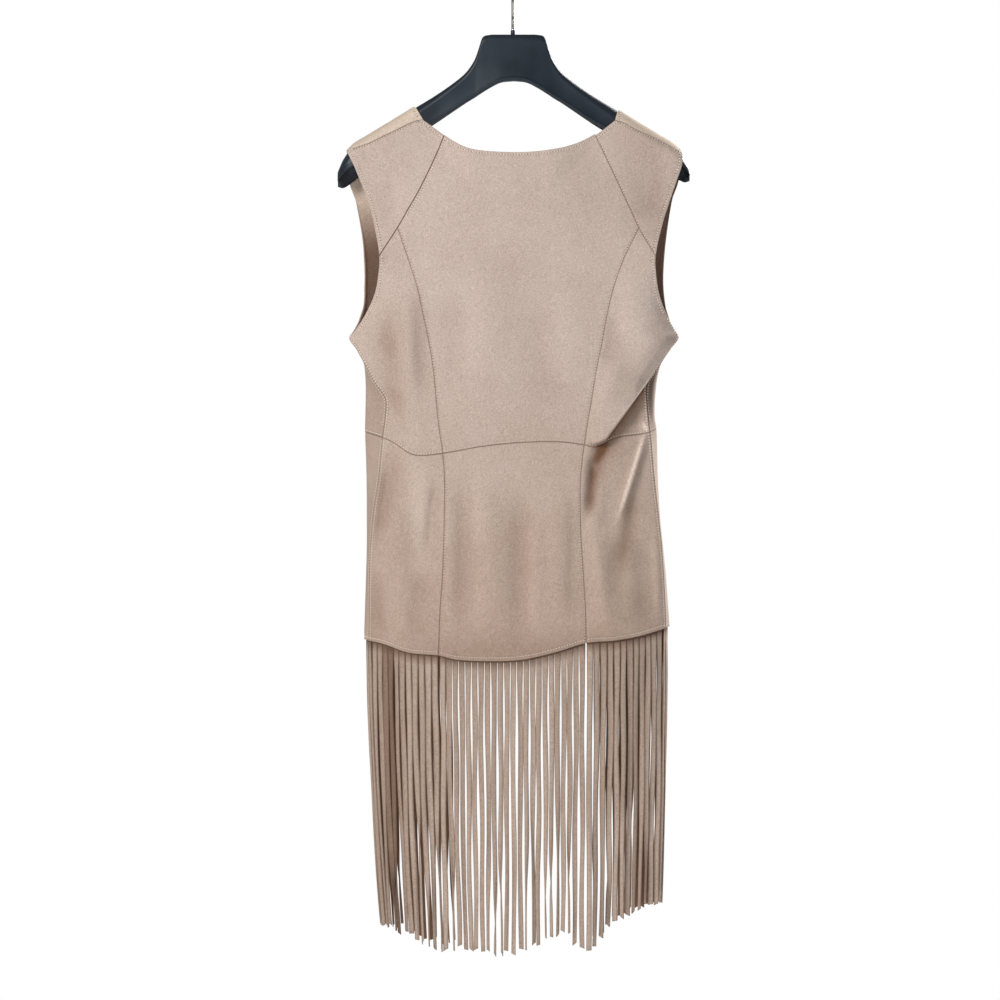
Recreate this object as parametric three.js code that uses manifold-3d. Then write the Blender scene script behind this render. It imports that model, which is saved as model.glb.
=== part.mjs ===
// A long suede waistcoat with a fringed hem, hanging on a moulded plastic hanger.
// Millimetres, +Z up. The origin is where the hanger's hook sits on its rail, so every
// height is a drop below it: z = -drop. -Y is the garment's back, +Y its open front,
// and +X is on the right when the back is looked at.
//
// The cloth is a back of centre, side and shoulder panels, above and below a waist seam,
// and two open fronts that come round the sides and over the shoulders.
// Each panel is a thin wall over a patch of the back's or the front's surface.
// The patches end half a seam gap short of each seam, and what turns sharply at a seam is
// cut back by its neighbour's wall, grown by the same gap.
import * as THREE from "three";
import { mergeVertices } from "three/addons/utils/BufferGeometryUtils.js";
import Module from "manifold-3d";

const wasm = await Module();
wasm.setup();

const WALL = 1.6; // suede with its turned edge
const SEAM_GAP = 0.3;
const HANGER_CLEAR = 0.9; // cloth to plastic on the curve; flat facets come closer
const TIP_CLEAR = 2.9; // the same at the hanger's tips, where it curves most
const FRINGE_TOP = 9; // how far the fringe strip reaches up behind the hem
const FRINGE_ROOT = 6; // uncut strip below the hem
const FRINGE_CLEAR = 1; // strip to wall on the curve; flat facets come closer
const STRAND_PITCH = 7.6;
const STRAND_WIDTH = 6.2;
const STRAND_THICK = 1.2;
const HOOK_WIRE = 3.8;
const HOOK_BEND = 19; // radius of the wire's centre line round the rail

// Smooth interpolation in a table of rows, by two named columns.
function lookUp(rows, keyColumn, valueColumn, key) {
  const last = rows.length - 1;
  if (key <= rows[0][keyColumn]) return rows[0][valueColumn];
  if (key >= rows[last][keyColumn]) return rows[last][valueColumn];
  const i = rows.findIndex((row) => row[keyColumn] > key) - 1;
  const span = rows[i + 1][keyColumn] - rows[i][keyColumn];
  const part = (key - rows[i][keyColumn]) / span;
  const slopeAt = (k) => {
    const before = rows[Math.max(0, k - 1)];
    const after = rows[Math.min(last, k + 1)];
    return (after[valueColumn] - before[valueColumn]) / (after[keyColumn] - before[keyColumn]);
  };
  const a = rows[i][valueColumn];
  const b = rows[i + 1][valueColumn];
  const p2 = part * part;
  const p3 = p2 * part;
  return (
    a * (2 * p3 - 3 * p2 + 1) +
    slopeAt(i) * span * (p3 - 2 * p2 + part) +
    b * (3 * p2 - 2 * p3) +
    slopeAt(i + 1) * span * (p3 - p2)
  );
}

const mix = (a, b, t) => a + (b - a) * t;
const clamp01 = (t) => Math.min(1, Math.max(0, t));
const smooth = (t) => clamp01(t) * clamp01(t) * (3 - 2 * clamp01(t));

// The hanger's arm by distance from its middle: ridge and two lower edges as drops,
// half its depth front to back, and how far the arm bows towards the garment's front.
const armRows = [
  { reach: 0, ridge: 60, nearEdge: 116, farEdge: 116, halfDepth: 6, bow: 0 },
  { reach: 16, ridge: 60, nearEdge: 118, farEdge: 118, halfDepth: 6, bow: 0 },
  { reach: 30, ridge: 60.5, nearEdge: 125, farEdge: 125, halfDepth: 6, bow: 0 },
  { reach: 38, ridge: 64, nearEdge: 130, farEdge: 130, halfDepth: 6, bow: 0 },
  { reach: 42, ridge: 76, nearEdge: 132.5, farEdge: 132.5, halfDepth: 6, bow: 0 },
  { reach: 47, ridge: 90, nearEdge: 136, farEdge: 136, halfDepth: 6, bow: 0 },
  { reach: 57, ridge: 105, nearEdge: 142, farEdge: 142, halfDepth: 6.3, bow: 0 },
  { reach: 72, ridge: 118, nearEdge: 152, farEdge: 152, halfDepth: 7, bow: 0 },
  { reach: 96, ridge: 134.5, nearEdge: 167.5, farEdge: 168, halfDepth: 8.5, bow: 1 },
  { reach: 121, ridge: 149.5, nearEdge: 181, farEdge: 183, halfDepth: 11.5, bow: 3 },
  { reach: 150, ridge: 167, nearEdge: 198, farEdge: 202, halfDepth: 16, bow: 7 },
  { reach: 180, ridge: 185, nearEdge: 213, farEdge: 224, halfDepth: 21, bow: 12 },
  { reach: 198, ridge: 199, nearEdge: 222, farEdge: 238, halfDepth: 22, bow: 15 },
  { reach: 206.5, ridge: 211, nearEdge: 229, farEdge: 243, halfDepth: 19, bow: 16 },
  { reach: 212.5, ridge: 225, nearEdge: 236, farEdge: 242, halfDepth: 12, bow: 16 },
];
const ARM_WALL = 3;
const GROOVE = 3;
const HANGER_TOP = 60;
const ARM_SHIFT = 1; // the arms end a little further out on the right
// The right tip's lower edges are higher than the left one's, from x = start on.
const rightTip = { start: 190, over: 14, nearEdge: 7, farEdge: 7 };
const arm = (x, column) =>
  lookUp(armRows, "reach", column, Math.abs(x - ARM_SHIFT)) -
  (rightTip[column] ?? 0) * smooth((x - rightTip.start) / rightTip.over);
// The top of the arm is half an ellipse, this high.
const crownHeight = (x) =>
  Math.min(
    mix(8, 17, smooth((Math.abs(x - ARM_SHIFT) - 60) / 110)),
    (arm(x, "nearEdge") - arm(x, "ridge")) * 0.6,
  );
// From the plastic's surface to the middle of the cloth that lies on it.
const layOff = (x) =>
  mix(HANGER_CLEAR, TIP_CLEAR, smooth((Math.abs(x - ARM_SHIFT) - 175) / 20)) + WALL / 2;

// Outlines seen from the back, one row for each drop. Left is -X.
const backEdgeRows = [
  { drop: 200, left: -200.6, right: 203.5 },
  { drop: 218, left: -191.5, right: 203 },
  { drop: 236, left: -184.1, right: 197 },
  { drop: 264, left: -173.5, right: 187.5 },
  { drop: 289, left: -167, right: 179.5 },
  { drop: 328, left: -160.3, right: 171 },
  { drop: 354, left: -162.1, right: 172 },
  { drop: 374, left: -166.4, right: 175.5 },
  { drop: 397, left: -177, right: 184 },
  { drop: 416, left: -189.4, right: 194 },
  { drop: 425, left: -196.6, right: 198.8 },
  { drop: 438, left: -188.4, right: 189.5 },
  { drop: 459, left: -176.5, right: 175 },
  { drop: 479, left: -165.8, right: 162 },
  { drop: 498, left: -153, right: 160.5 },
  { drop: 520, left: -153, right: 162 },
  { drop: 546, left: -156.1, right: 165 },
  { drop: 597, left: -161.5, right: 169.5 },
  { drop: 640, left: -168, right: 174.5 },
  { drop: 700, left: -172, right: 180 },
  { drop: 795, left: -173, right: 184.5 },
];
const UNDERARM_DROP = 425;
const frontEdgeRows = [
  { drop: 200, left: -200.6, right: 203.5 },
  { drop: 242, left: -193.5, right: 196 },
  { drop: 264, left: -188.3, right: 191 },
  { drop: 303, left: -181.5, right: 185 },
  { drop: 335, left: -179, right: 182 },
  { drop: 361, left: -178.8, right: 181.5 },
  { drop: 384, left: -179.8, right: 183.8 },
  { drop: 403, left: -184.6, right: 188 },
  { drop: 414, left: -189.5, right: 193 },
  { drop: 425, left: -196.6, right: 198.8 },
];
const silhouetteRows = [
  { drop: 425, left: -184, right: 188 },
  { drop: 450, left: -178, right: 178 },
  { drop: 480, left: -176.8, right: 172.5 },
  { drop: 517, left: -177.3, right: 170 },
  { drop: 537, left: -177.6, right: 172.5 },
  { drop: 586, left: -176, right: 173.4 },
  { drop: 640, left: -175, right: 175.5 },
  { drop: 680, left: -174.6, right: 179.5 },
  { drop: 715, left: -175.5, right: 183 },
  { drop: 775, left: -177.6, right: 187.5 },
];
const frontOpeningRows = [
  { drop: 150, left: -123.6, right: 129.8 },
  { drop: 200, left: -112, right: 121 },
  { drop: 330, left: -96, right: 110 },
  { drop: 560, left: -82, right: 101 },
  { drop: 800, left: -73, right: 97 },
];
const princessRows = [
  { drop: 294, left: -138.2, right: 151 },
  { drop: 330, left: -126.1, right: 133.5 },
  { drop: 363, left: -115.4, right: 121.5 },
  { drop: 398, left: -107.6, right: 112.8 },
  { drop: 432, left: -100.4, right: 106.5 },
  { drop: 466, left: -95, right: 99.7 },
  { drop: 500, left: -91.9, right: 94.3 },
  { drop: 530, left: -89, right: 89 },
  { drop: 560, left: -84.6, right: 84.6 },
  { drop: 597, left: -81.8, right: 80.9 },
  { drop: 650, left: -82.2, right: 80.9 },
  { drop: 715, left: -84.4, right: 84.6 },
  { drop: 757, left: -87.4, right: 87 },
  { drop: 800, left: -88.7, right: 87.4 },
];
const raglanRows = [
  { drop: 182, left: -82.2, right: 98.9 },
  { drop: 210, left: -94, right: 112.5 },
  { drop: 247, left: -111.6, right: 129.5 },
  { drop: 272, left: -125.6, right: 141 },
  { drop: 294, left: -138.2, right: 151 },
  { drop: 328, left: -160.3, right: 171 },
];
const PRINCESS_DROP = 294;
const ARMHOLE_RAGLAN_DROP = 328;
// Seams that run across, as drops by x.
const necklineRows = [
  { x: -107.6, drop: 163.4 },
  { x: -82.2, drop: 182 },
  { x: -59.6, drop: 195.4 },
  { x: -37.8, drop: 200.8 },
  { x: 8.4, drop: 202.9 },
  { x: 45.5, drop: 199.6 },
  { x: 74.4, drop: 192.4 },
  { x: 98.9, drop: 180.4 },
  { x: 122.6, drop: 164.2 },
];
const shoulderSeamRows = [
  { x: -200.6, drop: 200.5 },
  { x: -175, drop: 192.5 },
  { x: -150, drop: 180.5 },
  { x: -107.6, drop: 163.4 },
  { x: 122.6, drop: 164.2 },
  { x: 150, drop: 176.5 },
  { x: 178, drop: 189.5 },
  { x: 203.5, drop: 204 },
];
const waistRows = [
  { x: -177.6, drop: 538 },
  { x: -156, drop: 545.4 },
  { x: -141, drop: 552.5 },
  { x: -126, drop: 563 },
  { x: -113, drop: 567 },
  { x: -84.6, drop: 564.5 },
  { x: -36, drop: 556 },
  { x: 8.4, drop: 551.5 },
  { x: 55, drop: 550.6 },
  { x: 84.6, drop: 554 },
  { x: 100, drop: 556.5 },
  { x: 124, drop: 545.5 },
  { x: 160, drop: 540 },
  { x: 174, drop: 533 },
];
const hemRows = [
  { x: -177.6, drop: 788.6 },
  { x: -154, drop: 793.6 },
  { x: -126, drop: 803 },
  { x: -88.7, drop: 806.5 },
  { x: -70, drop: 811 },
  { x: -36, drop: 813 },
  { x: 8.4, drop: 811.6 },
  { x: 48.7, drop: 803 },
  { x: 87.4, drop: 791.5 },
  { x: 121.6, drop: 788.6 },
  { x: 151.6, drop: 783.4 },
  { x: 187.5, drop: 773 },
];
const across = (rows, x) => lookUp(rows, "x", "drop", x);
const edge = (rows, side, drop) => lookUp(rows, "drop", side, drop);

// How far each surface stands from the hanger's own plane, by drop.
const depthRows = [
  { drop: 150, back: -11, backSide: -20, sideSeam: -12, silhouette: 6, front: 14 },
  { drop: 205, back: -22, backSide: -22, sideSeam: -14, silhouette: 10, front: 24 },
  { drop: 300, back: -31, backSide: -27, sideSeam: -16, silhouette: 14, front: 34 },
  { drop: 425, back: -38, backSide: -33, sideSeam: -9, silhouette: 14, front: 42 },
  { drop: 500, back: -37, backSide: -33, sideSeam: -13, silhouette: 14, front: 44 },
  { drop: 560, back: -35, backSide: -32, sideSeam: -16, silhouette: 14, front: 42 },
  { drop: 660, back: -42, backSide: -38, sideSeam: -18, silhouette: 14, front: 45 },
  { drop: 800, back: -47, backSide: -41, sideSeam: -8, silhouette: 12, front: 49 },
];
const depth = (column, drop) => lookUp(depthRows, "drop", column, drop);

// Soft folds: a trough or ridge along a line from one point to another of the back.
// height is towards the back's outside, width is half the fold's breadth.
const backFolds = [
  { x0: -150, drop0: 555, x1: -163, drop1: 690, width: 11, height: -7 },
  { x0: -163, drop0: 690, x1: -166, drop1: 800, width: 11, height: -5 },
  { x0: -138, drop0: 610, x1: -142, drop1: 790, width: 17, height: 5 },
  { x0: -92, drop0: 590, x1: -102, drop1: 690, width: 10, height: -5 },
  { x0: -104, drop0: 690, x1: -124, drop1: 800, width: 15, height: -4 },
  { x0: -128, drop0: 370, x1: -118, drop1: 520, width: 17, height: 4.5 },
  { x0: -152, drop0: 400, x1: -140, drop1: 520, width: 13, height: -4 },
  { x0: -58, drop0: 590, x1: -62, drop1: 800, width: 18, height: -4.5 },
  { x0: -28, drop0: 580, x1: -24, drop1: 800, width: 20, height: 4 },
  { x0: 14, drop0: 600, x1: 6, drop1: 810, width: 18, height: -4 },
  { x0: 56, drop0: 590, x1: 52, drop1: 790, width: 18, height: 4 },
  { x0: 92, drop0: 575, x1: 90, drop1: 645, width: 9, height: -9 },
  { x0: 112, drop0: 640, x1: 100, drop1: 780, width: 13, height: 5 },
  { x0: 158, drop0: 552, x1: 122, drop1: 680, width: 8, height: 7 },
  { x0: 148, drop0: 640, x1: 152, drop1: 780, width: 15, height: -4 },
  { x0: 146, drop0: 340, x1: 142, drop1: 440, width: 16, height: 4 },
];
// The right side hangs over itself along a slanting fold below the armhole.
const overhang = { x0: 198.8, drop0: 425, x1: 105, drop1: 555, lift: 12, sink: 8, soft: 24 };

function foldHeight(fold, x, drop) {
  const alongX = fold.x1 - fold.x0;
  const alongDrop = fold.drop1 - fold.drop0;
  const length2 = alongX * alongX + alongDrop * alongDrop;
  const along = ((x - fold.x0) * alongX + (drop - fold.drop0) * alongDrop) / length2;
  const off = ((x - fold.x0) * alongDrop - (drop - fold.drop0) * alongX) / Math.sqrt(length2);
  const ends = smooth(along / 0.3) * smooth((1 - along) / 0.3);
  return fold.height * ends * Math.exp(-((off / fold.width) ** 2));
}

function overhangHeight(x, drop) {
  const alongX = overhang.x1 - overhang.x0;
  const alongDrop = overhang.drop1 - overhang.drop0;
  const length = Math.hypot(alongX, alongDrop);
  const along = ((x - overhang.x0) * alongX + (drop - overhang.drop0) * alongDrop) / length ** 2;
  const below = ((x - overhang.x0) * -alongDrop + (drop - overhang.drop0) * alongX) / -length;
  const ends = smooth((along + 0.05) / 0.35) * smooth((1.12 - along) / 0.4);
  const over = Math.exp(-Math.max(0, -below) / 38) * overhang.lift;
  const under = -Math.exp(-Math.max(0, below) / 26) * overhang.sink;
  return ends * mix(over, under, smooth(below / overhang.soft + 0.5));
}

// Half an ellipse over the arm, from the crown's foot up to the ridge.
function onCrown(x, drop) {
  const top = arm(x, "ridge") - layOff(x);
  const tall = crownHeight(x) + layOff(x);
  const up = clamp01((top + tall - drop) / tall);
  return (arm(x, "halfDepth") + layOff(x)) * Math.sqrt(1 - up * up);
}
const crownFoot = (x) => arm(x, "ridge") + crownHeight(x);

// The back's surface: its y at a place seen from behind.
function backDepth(x, drop) {
  const side = x < 0 ? "left" : "right";
  const outer = edge(backEdgeRows, side, Math.max(drop, 200));
  const princess = edge(princessRows, side, Math.max(drop, PRINCESS_DROP));
  const middle = depth("back", drop);
  const flank = depth("backSide", drop);
  const seam = mix(flank, depth("sideSeam", drop), smooth((drop - 330) / 95));
  const share = Math.abs(x / princess);
  let hang;
  if (share < 1) {
    hang = mix(middle, flank, share * share);
  } else {
    const out = clamp01((x - princess) / (outer - princess));
    hang = mix(flank, seam, out ** 2.4);
  }
  let folds = overhangHeight(x, drop);
  for (const fold of backFolds) folds += foldHeight(fold, x, drop);
  const foldShare = smooth((drop - 300) / 60) * clamp01((Math.abs(outer) - Math.abs(x)) / 12 + 0.15);
  hang -= folds * foldShare;
  const onArm = arm(x, "bow") - onCrown(x, drop);
  const free = smooth((drop - arm(x, "nearEdge") - 3) / 120);
  const overNeck = smooth((110 - Math.abs(x - ARM_SHIFT)) / 70);
  return mix(onArm, hang, Math.max(free, overNeck));
}

const vector = (x, y, drop) => new THREE.Vector3(x, y, -drop);
const backPoint = (x, drop) => vector(x, backDepth(x, drop), drop);

// One level of a front, from its side edge (t = 0) round to its opening (t = 1).
function frontLevel(side, t, drop) {
  const sign = side === "left" ? -1 : 1;
  const opening = edge(frontOpeningRows, side, drop);
  const front = depth("front", drop);
  let start;
  let turn;
  if (drop < UNDERARM_DROP) {
    const x = edge(frontEdgeRows, side, drop);
    const near = smooth((drop - 385) / (UNDERARM_DROP - 385));
    const y = mix(front * 0.72, depth("sideSeam", UNDERARM_DROP), near);
    start = { x, y };
    turn = { x: mix(x, edge(silhouetteRows, side, UNDERARM_DROP), near) - sign * 2, y: front * 0.8 };
  } else {
    const x = edge(backEdgeRows, side, drop);
    start = { x, y: backDepth(x - sign * 0.01, drop) };
    turn = { x: edge(silhouetteRows, side, drop), y: depth("silhouette", drop) };
  }
  const rows = [
    { t: 0, x: start.x, y: start.y },
    { t: 0.22, x: turn.x, y: turn.y },
    { t: 0.45, x: mix(turn.x, opening, 0.22), y: front * 0.9 },
    { t: 0.72, x: mix(turn.x, opening, 0.6), y: front },
    { t: 1, x: opening, y: front * 0.96 },
  ];
  const sway = Math.sin(t * 9 + (side === "left" ? 0.4 : 2.1)) * smooth((drop - 380) / 240) * 4;
  return {
    x: lookUp(rows, "t", "x", t),
    y: lookUp(rows, "t", "y", t) + sway * smooth((t - 0.3) / 0.2),
  };
}

// A front goes up from its lower seam to the crown's foot (up = 0 to rise) and then over
// the ridge to the shoulder seam (up = rise to 1).
const RISE = 0.68;
const shoulderEnds = {
  left: { tip: -200.6, neck: -123.6 },
  right: { tip: 203.5, neck: 129.8 },
};
const seamNeck = { left: -107.6, right: 122.6 };

// Where a seam that runs across crosses the front's line t.
function frontSeamDrop(side, t, rows) {
  let drop = rows[0].drop;
  for (let k = 0; k < 12; k++) drop = across(rows, frontLevel(side, t, drop).x);
  return drop;
}

function frontPoint(side, t, up, gap) {
  const { tip, neck } = shoulderEnds[side];
  const xTop = mix(tip, neck, t);
  const foot = crownFoot(xTop);
  if (up <= RISE) {
    const share = up / RISE;
    const drop = mix(frontSeamDrop(side, t, waistRows) - gap, foot, share);
    const hang = frontLevel(side, t, drop);
    const x = mix(hang.x, xTop, smooth((foot + 45 - drop) / 45));
    const onArm = arm(x, "bow") + arm(x, "halfDepth") + layOff(x);
    const leavesArm = arm(x, "farEdge") + 3;
    return vector(x, mix(hang.y, onArm, smooth((leavesArm + 115 - drop) / 115)), drop);
  }
  const over = (up - RISE) / (1 - RISE);
  const xSeam = mix(tip, seamNeck[side], t);
  const x = mix(xTop, xSeam, over ** 2);
  const tall = crownHeight(x) + layOff(x);
  const half = arm(x, "halfDepth") + layOff(x);
  const top = arm(x, "ridge") - layOff(x);
  const seamDrop = across(shoulderSeamRows, xSeam) - gap;
  // Half an ellipse, and straight down the arm's near side where the seam is lower still.
  const seamUp = clamp01((top + tall - seamDrop) / tall);
  const straight = Math.max(0, seamDrop - top - tall);
  const ellipse = Math.PI * Math.hypot(tall, half) * Math.SQRT1_2;
  const bent = ellipse / (ellipse + straight);
  const angle = mix(0, Math.PI - Math.asin(seamUp), Math.min(1, over / bent));
  const further = straight * clamp01((over - bent) / (1 - bent + 1e-9));
  return vector(
    x,
    arm(x, "bow") + half * Math.cos(angle),
    top + tall * (1 - Math.sin(angle)) + further,
  );
}

// A thin closed wall over point(a, b), a and b from 0 to 1, half its thickness each way.
function wallGeometry(point, [stepsAcross, stepsUp], thickness = WALL) {
  const columns = stepsAcross + 1;
  const rows = stepsUp + 1;
  const middle = [];
  for (let j = 0; j < rows; j++)
    for (let i = 0; i < columns; i++) middle.push(point(i / stepsAcross, j / stepsUp));
  const at = (i, j) => middle[j * columns + i];
  const positions = [];
  for (const half of [thickness / 2, -thickness / 2]) {
    for (let j = 0; j < rows; j++) {
      for (let i = 0; i < columns; i++) {
        const da = at(Math.min(i + 1, stepsAcross), j).clone().sub(at(Math.max(i - 1, 0), j));
        const db = at(i, Math.min(j + 1, stepsUp)).clone().sub(at(i, Math.max(j - 1, 0)));
        const normal = da.cross(db).normalize();
        positions.push(...at(i, j).clone().addScaledVector(normal, half).toArray());
      }
    }
  }
  const index = [];
  const back = rows * columns;
  for (let j = 0; j < stepsUp; j++) {
    for (let i = 0; i < stepsAcross; i++) {
      const a = j * columns + i;
      const b = a + 1;
      const c = a + columns;
      const d = c + 1;
      index.push(a, b, d, a, d, c);
      index.push(back + a, back + d, back + b, back + a, back + c, back + d);
    }
  }
  const rim = [];
  for (let i = 0; i < stepsAcross; i++) rim.push(i);
  for (let j = 0; j < stepsUp; j++) rim.push(j * columns + stepsAcross);
  for (let i = stepsAcross; i > 0; i--) rim.push(stepsUp * columns + i);
  for (let j = stepsUp; j > 0; j--) rim.push(j * columns);
  rim.forEach((a, k) => {
    const b = rim[(k + 1) % rim.length];
    index.push(a, back + a, back + b, a, back + b, b);
  });
  const geometry = new THREE.BufferGeometry();
  geometry.setAttribute("position", new THREE.Float32BufferAttribute(positions, 3));
  geometry.setIndex(index);
  return geometry;
}

// A back panel between two edges by drop and two seams by x, each moved in by the gap.
// Where the edges have a corner, the row at cornerShare of the way up lies at cornerDrop.
const backPatch = ({ leftEdge, rightEdge, topSeam, bottomSeam, cornerShare, cornerDrop }) =>
  (gap) => (a, b) => {
    let x = 0;
    let drop = 400;
    for (let k = 0; k < 24; k++) {
      const bottom = bottomSeam(x) - gap;
      const top = topSeam(x) + gap;
      if (!cornerShare) drop = mix(bottom, top, b);
      else if (b < cornerShare) drop = mix(bottom, cornerDrop, b / cornerShare);
      else drop = mix(cornerDrop, top, (b - cornerShare) / (1 - cornerShare));
      x = mix(leftEdge(drop) + gap, rightEdge(drop) - gap, a);
    }
    return backPoint(x, drop);
  };

const materials = {
  suede: { color: 0xc6b4a8, roughness: 0.95, metalness: 0 },
  shoulderSuede: { color: 0xd0bdaa, roughness: 0.95, metalness: 0 },
  fringeSuede: { color: 0xb8a696, roughness: 0.95, metalness: 0 },
  hangerPlastic: { color: 0x23272e, roughness: 0.45, metalness: 0 },
  hookSteel: { color: 0xa9adb0, roughness: 0.25, metalness: 1 },
};
const vest = new THREE.Group();
function addPart(name, geometry, material) {
  const mesh = new THREE.Mesh(geometry, new THREE.MeshStandardMaterial(materials[material]));
  mesh.name = name;
  vest.add(mesh);
}

// A panel of cloth: patch(gap) gives its surface. Panels named in cutBy come first.
const grownWalls = {};
function addCloth(name, { patch, steps, cutBy = [], material = "suede" }) {
  let wall = asManifold(wallGeometry(patch(SEAM_GAP / 2), steps));
  for (const other of cutBy) wall = largestBody(wall.subtract(grownWalls[other]));
  grownWalls[name] = asManifold(wallGeometry(patch(-SEAM_GAP / 2), steps, WALL + 2 * SEAM_GAP));
  addPart(name, asGeometry(wall), material);
}
const largestBody = (manifold) =>
  manifold.decompose().reduce((best, body) => (body.volume() > best.volume() ? body : best));

// Back panels
const raglanOrPrincess = (side) => (drop) =>
  drop < PRINCESS_DROP ? edge(raglanRows, side, drop) : edge(princessRows, side, drop);
const princess = (side) => (drop) => edge(princessRows, side, drop);
const backEdge = (side) => (drop) => edge(backEdgeRows, side, drop);
const raglanByX = (side) => (x) => {
  const rows = raglanRows.map((row) => ({ x: row[side], drop: row.drop }));
  if (side === "left") rows.reverse();
  return across(rows, x);
};
const waist = (x) => across(waistRows, x);
const hem = (x) => across(hemRows, x);
const neckline = (x) => across(necklineRows, x);

addCloth("back_center_upper", {
  patch: backPatch({
    leftEdge: raglanOrPrincess("left"),
    rightEdge: raglanOrPrincess("right"),
    topSeam: neckline,
    bottomSeam: waist,
    cornerShare: 10 / 14,
    cornerDrop: PRINCESS_DROP,
  }),
  steps: [12, 14],
});
addCloth("back_center_lower", {
  patch: backPatch({
    leftEdge: princess("left"),
    rightEdge: princess("right"),
    topSeam: waist,
    bottomSeam: hem,
  }),
  steps: [14, 8],
  cutBy: ["back_center_upper"],
});

// A shoulder panel fans from the neck (along = 0) to the armhole, between the raglan seam
// and the shoulder seam.
const shoulderPatch = (side) => (gap) => (a, b) => {
  const outward = side === "left" ? -1 : 1;
  const along = side === "left" ? 1 - a : a;
  const lowDrop = mix(182.5, ARMHOLE_RAGLAN_DROP - gap, along);
  const lowX = edge(raglanRows, side, lowDrop) + outward * gap * 1.5;
  const highX = mix(seamNeck[side], shoulderEnds[side].tip, along);
  const rise = 1 - (1 - b) ** 1.8; // closer rows where the cloth bends over the arm
  const drop = mix(lowDrop, across(shoulderSeamRows, highX) + gap, rise);
  const { tip } = shoulderEnds[side];
  const edgeDrop = mix(ARMHOLE_RAGLAN_DROP, across(shoulderSeamRows, tip), rise);
  const straight = mix(edge(raglanRows, side, ARMHOLE_RAGLAN_DROP), tip, rise);
  const bulge = edge(backEdgeRows, side, edgeDrop) - straight;
  return backPoint(mix(lowX, highX, rise) + bulge * along ** 2, drop);
};
for (const side of ["left", "right"]) {
  const between = (outer, inner) =>
    side === "left" ? { leftEdge: outer, rightEdge: inner } : { leftEdge: inner, rightEdge: outer };
  addCloth(`back_side_upper_${side}`, {
    patch: backPatch({
      ...between(backEdge(side), princess(side)),
      topSeam: raglanByX(side),
      bottomSeam: waist,
    }),
    steps: side === "left" ? [8, 14] : [13, 14],
    cutBy: ["back_center_upper", "back_center_lower"],
  });
  addCloth(`back_side_lower_${side}`, {
    patch: backPatch({
      ...between(backEdge(side), princess(side)),
      topSeam: waist,
      bottomSeam: hem,
    }),
    steps: [11, 9],
    cutBy: ["back_center_upper", "back_center_lower", `back_side_upper_${side}`],
  });
  addCloth(`back_shoulder_${side}`, {
    patch: shoulderPatch(side),
    steps: [10, 12],
    cutBy: ["back_center_upper", `back_side_upper_${side}`],
  });
}

// Fronts: a runs towards +X on both sides, so t starts at the side seam.
const frontParameter = (side, a) => (side === "left" ? a : 1 - a);
const frontUpperPatch = (side) => (gap) => (a, b) => frontPoint(side, frontParameter(side, a), b, gap);
const frontLowerPatch = (side) => (gap) => (a, b) => {
  const t = frontParameter(side, a);
  const top = frontSeamDrop(side, t, waistRows) + gap;
  const bottom = frontSeamDrop(side, t, hemRows) - gap;
  const drop = mix(bottom, top, b);
  const { x, y } = frontLevel(side, t, drop);
  return vector(x, y, drop);
};
for (const side of ["left", "right"]) {
  const backSides = [`back_side_upper_${side}`, `back_side_lower_${side}`];
  addCloth(`front_upper_${side}`, {
    patch: frontUpperPatch(side),
    steps: [10, 26],
    cutBy: [...backSides, `back_shoulder_${side}`],
    material: "shoulderSuede",
  });
  addCloth(`front_lower_${side}`, {
    patch: frontLowerPatch(side),
    steps: [12, 8],
    cutBy: [...backSides, `front_upper_${side}`],
  });
}

// Fringe: a strip sewn behind the hem, and ribbons cut from it. Each ribbon turns as it
// hangs, so the gaps between ribbons widen towards their tips.
const strandTipRows = [
  { x: -178, drop: 1128 },
  { x: -150, drop: 1136 },
  { x: -128, drop: 1146 },
  { x: -96, drop: 1154 },
  { x: -50, drop: 1160 },
  { x: 8, drop: 1158 },
  { x: 40, drop: 1144 },
  { x: 70, drop: 1140 },
  { x: 86, drop: 1164 },
  { x: 104, drop: 1146 },
  { x: 125, drop: 1126 },
  { x: 150, drop: 1112 },
  { x: 186, drop: 1102 },
];
const STRAND_STEPS = 3;
// The outer strands hang inwards: at the tips, this far beside their roots at x = at.
const lean = { left: { at: 173, by: 16.5 }, right: { at: 184, by: -6 } };
function leanAt(x) {
  const { at, by } = x < 0 ? lean.left : lean.right;
  return by * (Math.abs(x) / at) ** 1.6;
}

// The same wobble each run, from -1 to 1, for a strand and a purpose.
function wobble(strand, purpose) {
  const s = Math.sin(strand * 12.9898 + purpose * 78.233) * 43758.5453;
  return 2 * (s - Math.floor(s)) - 1;
}

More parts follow.
